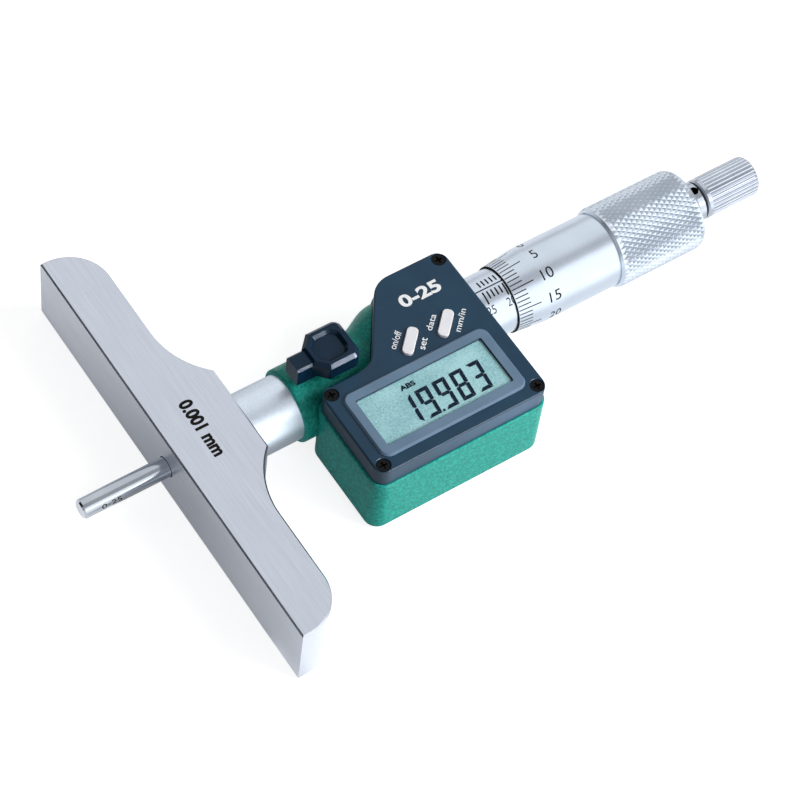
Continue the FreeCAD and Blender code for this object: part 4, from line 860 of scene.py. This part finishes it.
class MICROMETER_OT_pane(bpy.types.Operator):
    """Fits the clear window over the display, with polished edges"""
    bl_idname = "micrometer.pane"
    bl_label = "Display window"

    def execute(self, context):
        low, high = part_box("display_window")
        low.z += PANE_GAP * MM
        deselect()
        bpy.ops.mesh.primitive_cube_add(size=1, location=(low + high) / 2)
        pane = bpy.context.object
        pane.dimensions = high - low
        select(pane)
        bpy.ops.object.transform_apply(location=True, rotation=True, scale=True)
        for edge in pane.data.edges:
            a, b = (pane.data.vertices[i].co for i in edge.vertices)
            edge.select = abs(a.z - b.z) > UPRIGHT * MM
        bpy.ops.object.mode_set(mode="EDIT")
        bpy.ops.mesh.bevel(offset=PANE_CORNER * MM, segments=PANE_CORNER_STEPS, affect="EDGES")
        bpy.ops.object.mode_set(mode="OBJECT")
        for edge in pane.data.edges:
            a, b = (pane.data.vertices[i].co for i in edge.vertices)
            edge.select = min(a.z, b.z) > high.z - CLOSE * MM
        bpy.ops.object.mode_set(mode="EDIT")
        bpy.ops.mesh.bevel(offset=PANE_BEVEL * MM, segments=PANE_BEVEL_STEPS, affect="EDGES")
        bpy.ops.object.mode_set(mode="OBJECT")
        settle(pane, "window_pane", "frame", "clear_pane", smooth=30)
        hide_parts("display_window")
        return {"FINISHED"}


BASE_TOP = 8.7
BASE_MARK = ("0.001 mm", 14.6, 3.1, 0.045)     # text, length, height and weight
BASE_MARK_PLACE = (8.1, -0.2)
ROD_RADIUS = 2.2
ROD_MARK = ("0-25", 4.6, 1.15)                 # text, length and height
ROD_MARK_PLACE = (-13.8, 73)                   # x, and degrees from the top towards -Y
ROD_MARK_BODY = 0.05
ROD_SLICE = 0.12           # height of one flat strip of the bent mark


class MICROMETER_OT_steel_marks(bpy.types.Operator):
    """Etches the resolution on the base and the range on the rod"""
    bl_idname = "micrometer.steel_marks"
    bl_label = "Steel marks"

    def execute(self, context):
        mark = moved(flat_text(*BASE_MARK), *BASE_MARK_PLACE, BASE_TOP + MARK_PROUD, -90)
        settle(inked(mark, MARK_BODY), "base_mark", "frame", "scale_ink")
        x, angle = ROD_MARK_PLACE
        mark = moved(flat_text(*ROD_MARK), x, -math.radians(angle) * ROD_RADIUS)
        mark = wrapped(sliced(mark, ROD_SLICE), lambda x: ROD_RADIUS + MARK_PROUD, ROD_RADIUS)
        settle(inked(mark, ROD_MARK_BODY), "rod_mark", "spindle_group",
               "scale_ink")
        return {"FINISHED"}


# ---------------------------------------------------------------- stage

# the camera, solved from the photograph: its place, its axes and its lens
CAMERA_PLACE = (-169.831, -264.746, 513.851)
CAMERA_RIGHT = (0.83196, -0.54839, 0.08432)
CAMERA_UP = (0.42407, 0.72650, 0.54070)
CAMERA_BACK = (-0.35778, -0.41409, 0.83698)
CAMERA_LENS = 133.8
WHOLE = (60, 0, 0)         # middle of the part
LAMPS = {
    # away is the direction from the aim to the lamp, size its width and height. A lamp with
    # pieces lights only those: it stands for what they mirror in the photographer's studio.
    "key_softbox": dict(
        away=(0.62, -0.56, 0.62), distance=750, size=(460, 460), radiance=7.6, gloss=False),
    "side_softbox": dict(
        away=(0.36, -0.84, 0.41), distance=700, size=(900, 840), radiance=1.2),
    "far_softbox": dict(
        away=(0.36, 0.62, 0.70), distance=800, size=(800, 1100), radiance=0.55),
    "edge_strip": dict(
        away=(0.358, -0.837, 0.414), distance=700, size=(420, 20), radiance=300.0,
        diffuse=False, pieces=("front_cover", "housing")),
    "lever_strip": dict(
        away=(0.358, -0.837, 0.414), distance=690, size=(420, 28), radiance=220.0,
        tint="#E4EEFF", diffuse=False, pieces=("lock_lever",)),
    "wall_card": dict(
        aim=(55, -38, 8), away=(0.2, -0.4, -0.84), distance=17, size=(50, 12), radiance=2.0,
        tint="#A8CFFF", diffuse=False, pieces=("front_cover",)),
    "sleeve_card": dict(
        aim=(26, -8, 0), away=(0.03, -1, 0.35), distance=17, size=(21, 30), radiance=1.05,
        diffuse=False, pieces=("front_sleeve",)),
    "glint_card": dict(
        away=(0.358, -0.81, 0.466), distance=650, size=(420, 170), radiance=1.6,
        diffuse=False, pieces=("measuring_rod", "ratchet_knob", "thimble_cap")),
}
# a black flag that makes the base's chamfer a dark line
FLAG_AWAY, FLAG_DISTANCE, FLAG_SIZE = (-0.837, 0.414, 0.358), 400, (320, 260)
SKY_LIGHT, SKY_GLOSS = 0.1, 0.68   # strength of the walls' light, and of their look in gloss
FLOOR_SIZE = 4             # m
FLOOR_TILT = 2.6           # degrees: the part rests on its drum and on the base's edge
FLOOR_AT_BASE = -8.72      # floor height below the measuring face
FLOOR_SEEN = 0.82          # floor's own light to the eye near the part; far off it is white
FLOOR_FAR = (300, 800)     # distance over which it turns white
# The floor's own light in gloss, in front of the base and then behind it: the strength at the
# start, and steps that pass into others, as the axis, where the step runs, and the strength.
FLOOR_FRONT = (0.37, [("Across", 8, 48, 0.64), ("X", -9, -12, 1.0)])
FLOOR_REAR = (0.25, [("X", 34, 42, 0.7), ("Y", -39, -43, 1.25)])
FLOOR_JOIN = (-2, 4)       # x over which the front's strength passes into the rear's


def rays_seen(tree):
    """The rays of a material or world: those that reach the eye, and those seen in gloss."""
    rays = add(tree, "ShaderNodeLightPath").outputs
    seen = add(tree, "ShaderNodeMath", {0: rays["Is Camera Ray"], 1: rays["Is Transmission Ray"]},
               operation="MAXIMUM")
    return seen.outputs["Value"], rays["Is Glossy Ray"]


def studio_paper():
    """Plain pale floor that keeps the shadow and shows nearly white to the eye and in metal."""
    material, tree, shader = blank("studio_paper", {
        "Metallic": 0.0, "Roughness": 0.9, "Emission Color": (1, 1, 1, 1)})
    colour = tinted(tree, cloudy(tree, 3, 3.0), 0, 1, linear("#B7B8BA"),
                    linear("#BEBFC1"))
    tree.links.new(colour, shader.inputs["Base Color"])
    place = add(tree, "ShaderNodeTexCoord").outputs["Object"]
    axes = add(tree, "ShaderNodeSeparateXYZ", {"Vector": place}).outputs
    across = add(tree, "ShaderNodeMath", {0: axes["Y"]}, operation="ABSOLUTE")
    along = {"X": axes["X"], "Y": axes["Y"], "Across": across.outputs["Value"]}
    zones = []
    for strength, steps in (FLOOR_FRONT, FLOOR_REAR):
        for axis, start, end, other in steps:
            share = add(tree, "ShaderNodeMapRange", {
                "Value": along[axis], "From Min": start * MM, "From Max": end * MM})
            strength = add(tree, "ShaderNodeMix",
                           {0: share.outputs["Result"], 2: strength, 3: other}).outputs[0]
        zones.append(strength)
    share = add(tree, "ShaderNodeMapRange", {
        "Value": axes["X"], "From Min": FLOOR_JOIN[0] * MM, "From Max": FLOOR_JOIN[1] * MM})
    gloss = add(tree, "ShaderNodeMix", {0: share.outputs["Result"], 2: zones[0], 3: zones[1]})
    reach = add(tree, "ShaderNodeVectorMath", {0: place}, operation="LENGTH")
    own = add(tree, "ShaderNodeMapRange", {
        "Value": reach.outputs["Value"], "From Min": FLOOR_FAR[0] * MM,
        "From Max": FLOOR_FAR[1] * MM, "To Min": FLOOR_SEEN, "To Max": 1.0})
    seen, glossy = rays_seen(tree)
    glow = add(tree, "ShaderNodeMath", {0: seen, 1: own.outputs["Result"]}, operation="MULTIPLY")
    glow = add(tree, "ShaderNodeMath", {0: glossy, 1: gloss.outputs[0], 2: glow.outputs["Value"]},
               operation="MULTIPLY_ADD")
    tree.links.new(glow.outputs["Value"], shader.inputs["Emission Strength"])
    return material


def black_cloth():
    """Black cloth of the studio's flag."""
    material, tree, shader = blank("black_cloth", {
        "Metallic": 0.0, "Roughness": 1.0, "Specular IOR Level": 0.0})
    colour = tinted(tree, cloudy(tree, 4, 2.0), 0, 1, linear("#343434"),
                    linear("#3C3C3C"))
    tree.links.new(colour, shader.inputs["Base Color"])
    return material


def set_camera(scene):
    """The camera at the photograph's place, turn and lens."""
    deselect()
    bpy.ops.object.camera_add()
    camera = bpy.context.object
    turn = Matrix([Vector(row) for row in (CAMERA_RIGHT, CAMERA_UP, CAMERA_BACK)]).transposed()
    camera.matrix_world = Matrix.Translation(Vector(CAMERA_PLACE) * MM) @ turn.to_4x4()
    camera.data.lens = CAMERA_LENS
    camera.data.sensor_width = 36
    camera.data.clip_start = 0.01
    scene.camera = camera


def lay_floor():
    """The tilted floor under the part."""
    bpy.ops.mesh.primitive_grid_add(x_subdivisions=8, y_subdivisions=8, size=FLOOR_SIZE)
    floor = bpy.context.object
    floor.name = "studio_floor"
    floor.matrix_world = (Matrix.Translation((0, 0, FLOOR_AT_BASE * MM))
                          @ Matrix.Rotation(math.radians(FLOOR_TILT), 4, "Y"))
    bpy.ops.object.transform_apply(location=True, rotation=True, scale=True)
    floor.data.materials.append(studio_paper())


def light_walls(scene):
    """Walls that are white to the eye, bright in gloss and dim as a light."""
    world = bpy.data.worlds.new("studio")
    world.use_nodes = True
    scene.world = world
    tree = world.node_tree
    tree.nodes.clear()
    seen, glossy = rays_seen(tree)
    dim = add(tree, "ShaderNodeMapRange",
              {"Value": glossy, "To Min": SKY_LIGHT, "To Max": SKY_GLOSS})
    strength = add(tree, "ShaderNodeMath", {0: seen, 1: dim.outputs["Result"]},
                   operation="MAXIMUM")
    sky = add(tree, "ShaderNodeBackground",
              {"Color": colour_of(colour_settings().sky), "Strength": strength.outputs["Value"]})
    add(tree, "ShaderNodeOutputWorld", {"Surface": sky.outputs["Background"]})


def hang_lamp(name, away, distance, size, radiance, aim=WHOLE, tint="#FFFFFF",
              gloss=True, diffuse=True, pieces=()):
    """One soft lamp, turned to its aim; with pieces, it lights only those."""
    bpy.ops.object.light_add(type="AREA")
    lamp = bpy.context.object
    lamp.name = name
    width, height = size
    lamp.data.shape = "RECTANGLE"
    lamp.data.size, lamp.data.size_y = width * MM, height * MM
    lamp.data.energy = radiance * math.pi * width * height * MM * MM
    lamp.data.color = linear(tint)[:3]
    lamp.visible_camera = False
    lamp.visible_glossy = gloss
    lamp.visible_diffuse = diffuse
    if pieces:
        lit = bpy.data.collections.new(name)
        for piece in pieces:
            lit.objects.link(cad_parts[piece])
        lamp.light_linking.receiver_collection = lit
    away = Vector(away).normalized()
    lamp.matrix_world = (Matrix.Translation((Vector(aim) + away * distance) * MM)
                         @ (-away).to_track_quat("-Z", "Y").to_matrix().to_4x4())


def hang_flag():
    """The black flag, which only gloss can see."""
    away = Vector(FLAG_AWAY).normalized()
    width, height = FLAG_SIZE
    deselect()
    bpy.ops.mesh.primitive_plane_add(size=1)
    flag = bpy.context.object
    flag.name = "black_flag"
    flag.matrix_world = (Matrix.Translation(away * FLAG_DISTANCE * MM)
                         @ away.to_track_quat("Z", "Y").to_matrix().to_4x4()
                         @ Matrix.Diagonal((width * MM, height * MM, 1, 1)))
    bpy.ops.object.transform_apply(location=True, rotation=True, scale=True)
    flag.data.materials.append(black_cloth())
    flag.visible_camera = flag.visible_diffuse = False
    flag.visible_transmission = flag.visible_shadow = False


class MICROMETER_OT_stage(bpy.types.Operator):
    """Sets the camera, the pale floor and the soft lamps"""
    bl_idname = "micrometer.stage"
    bl_label = "Stage"

    def execute(self, context):
        scene = context.scene
        set_camera(scene)
        lay_floor()
        light_walls(scene)
        for name, settings in LAMPS.items():
            hang_lamp(name, **settings)
        hang_flag()
        scene.view_settings.view_transform = "Standard"
        return {"FINISHED"}


# ---------------------------------------------------------------- add-on

OPERATORS = (
    MICROMETER_OT_finishes, MICROMETER_OT_knurl, MICROMETER_OT_sleeve_scale,
    MICROMETER_OT_thimble_scale, MICROMETER_OT_rings, MICROMETER_OT_cover_words,
    MICROMETER_OT_display, MICROMETER_OT_pane, MICROMETER_OT_steel_marks, MICROMETER_OT_stage,
)


class MICROMETER_PT_sidebar(bpy.types.Panel):
    """Lists the micrometer's pieces, sizes and colours"""
    bl_idname = "MICROMETER_PT_sidebar"
    bl_label = "Depth micrometer"
    bl_space_type = "VIEW_3D"
    bl_region_type = "UI"
    bl_category = "Micrometer"

    def draw(self, context):
        layout = self.layout
        for operator in OPERATORS:
            layout.operator(operator.bl_idname)
        for group in (context.scene.micrometer_sizes, context.scene.micrometer_colours):
            box = layout.box()
            for key in group.__annotations__:
                box.prop(group, key)


CLASSES = (MicrometerSizes, MicrometerColours) + OPERATORS + (MICROMETER_PT_sidebar,)


def register():
    """Registers the add-on's classes and settings."""
    for made in CLASSES:
        bpy.utils.register_class(made)
    bpy.types.Scene.micrometer_sizes = PointerProperty(type=MicrometerSizes)
    bpy.types.Scene.micrometer_colours = PointerProperty(type=MicrometerColours)


def unregister():
    """Takes them out again."""
    del bpy.types.Scene.micrometer_colours
    del bpy.types.Scene.micrometer_sizes
    for made in reversed(CLASSES):
        bpy.utils.unregister_class(made)


def main():
    """Runs every operator in order."""
    register()
    for operator in OPERATORS:
        group, name = operator.bl_idname.split(".")
        getattr(getattr(bpy.ops, group), name)()
    deselect()


if __name__ == "__main__":
    main()
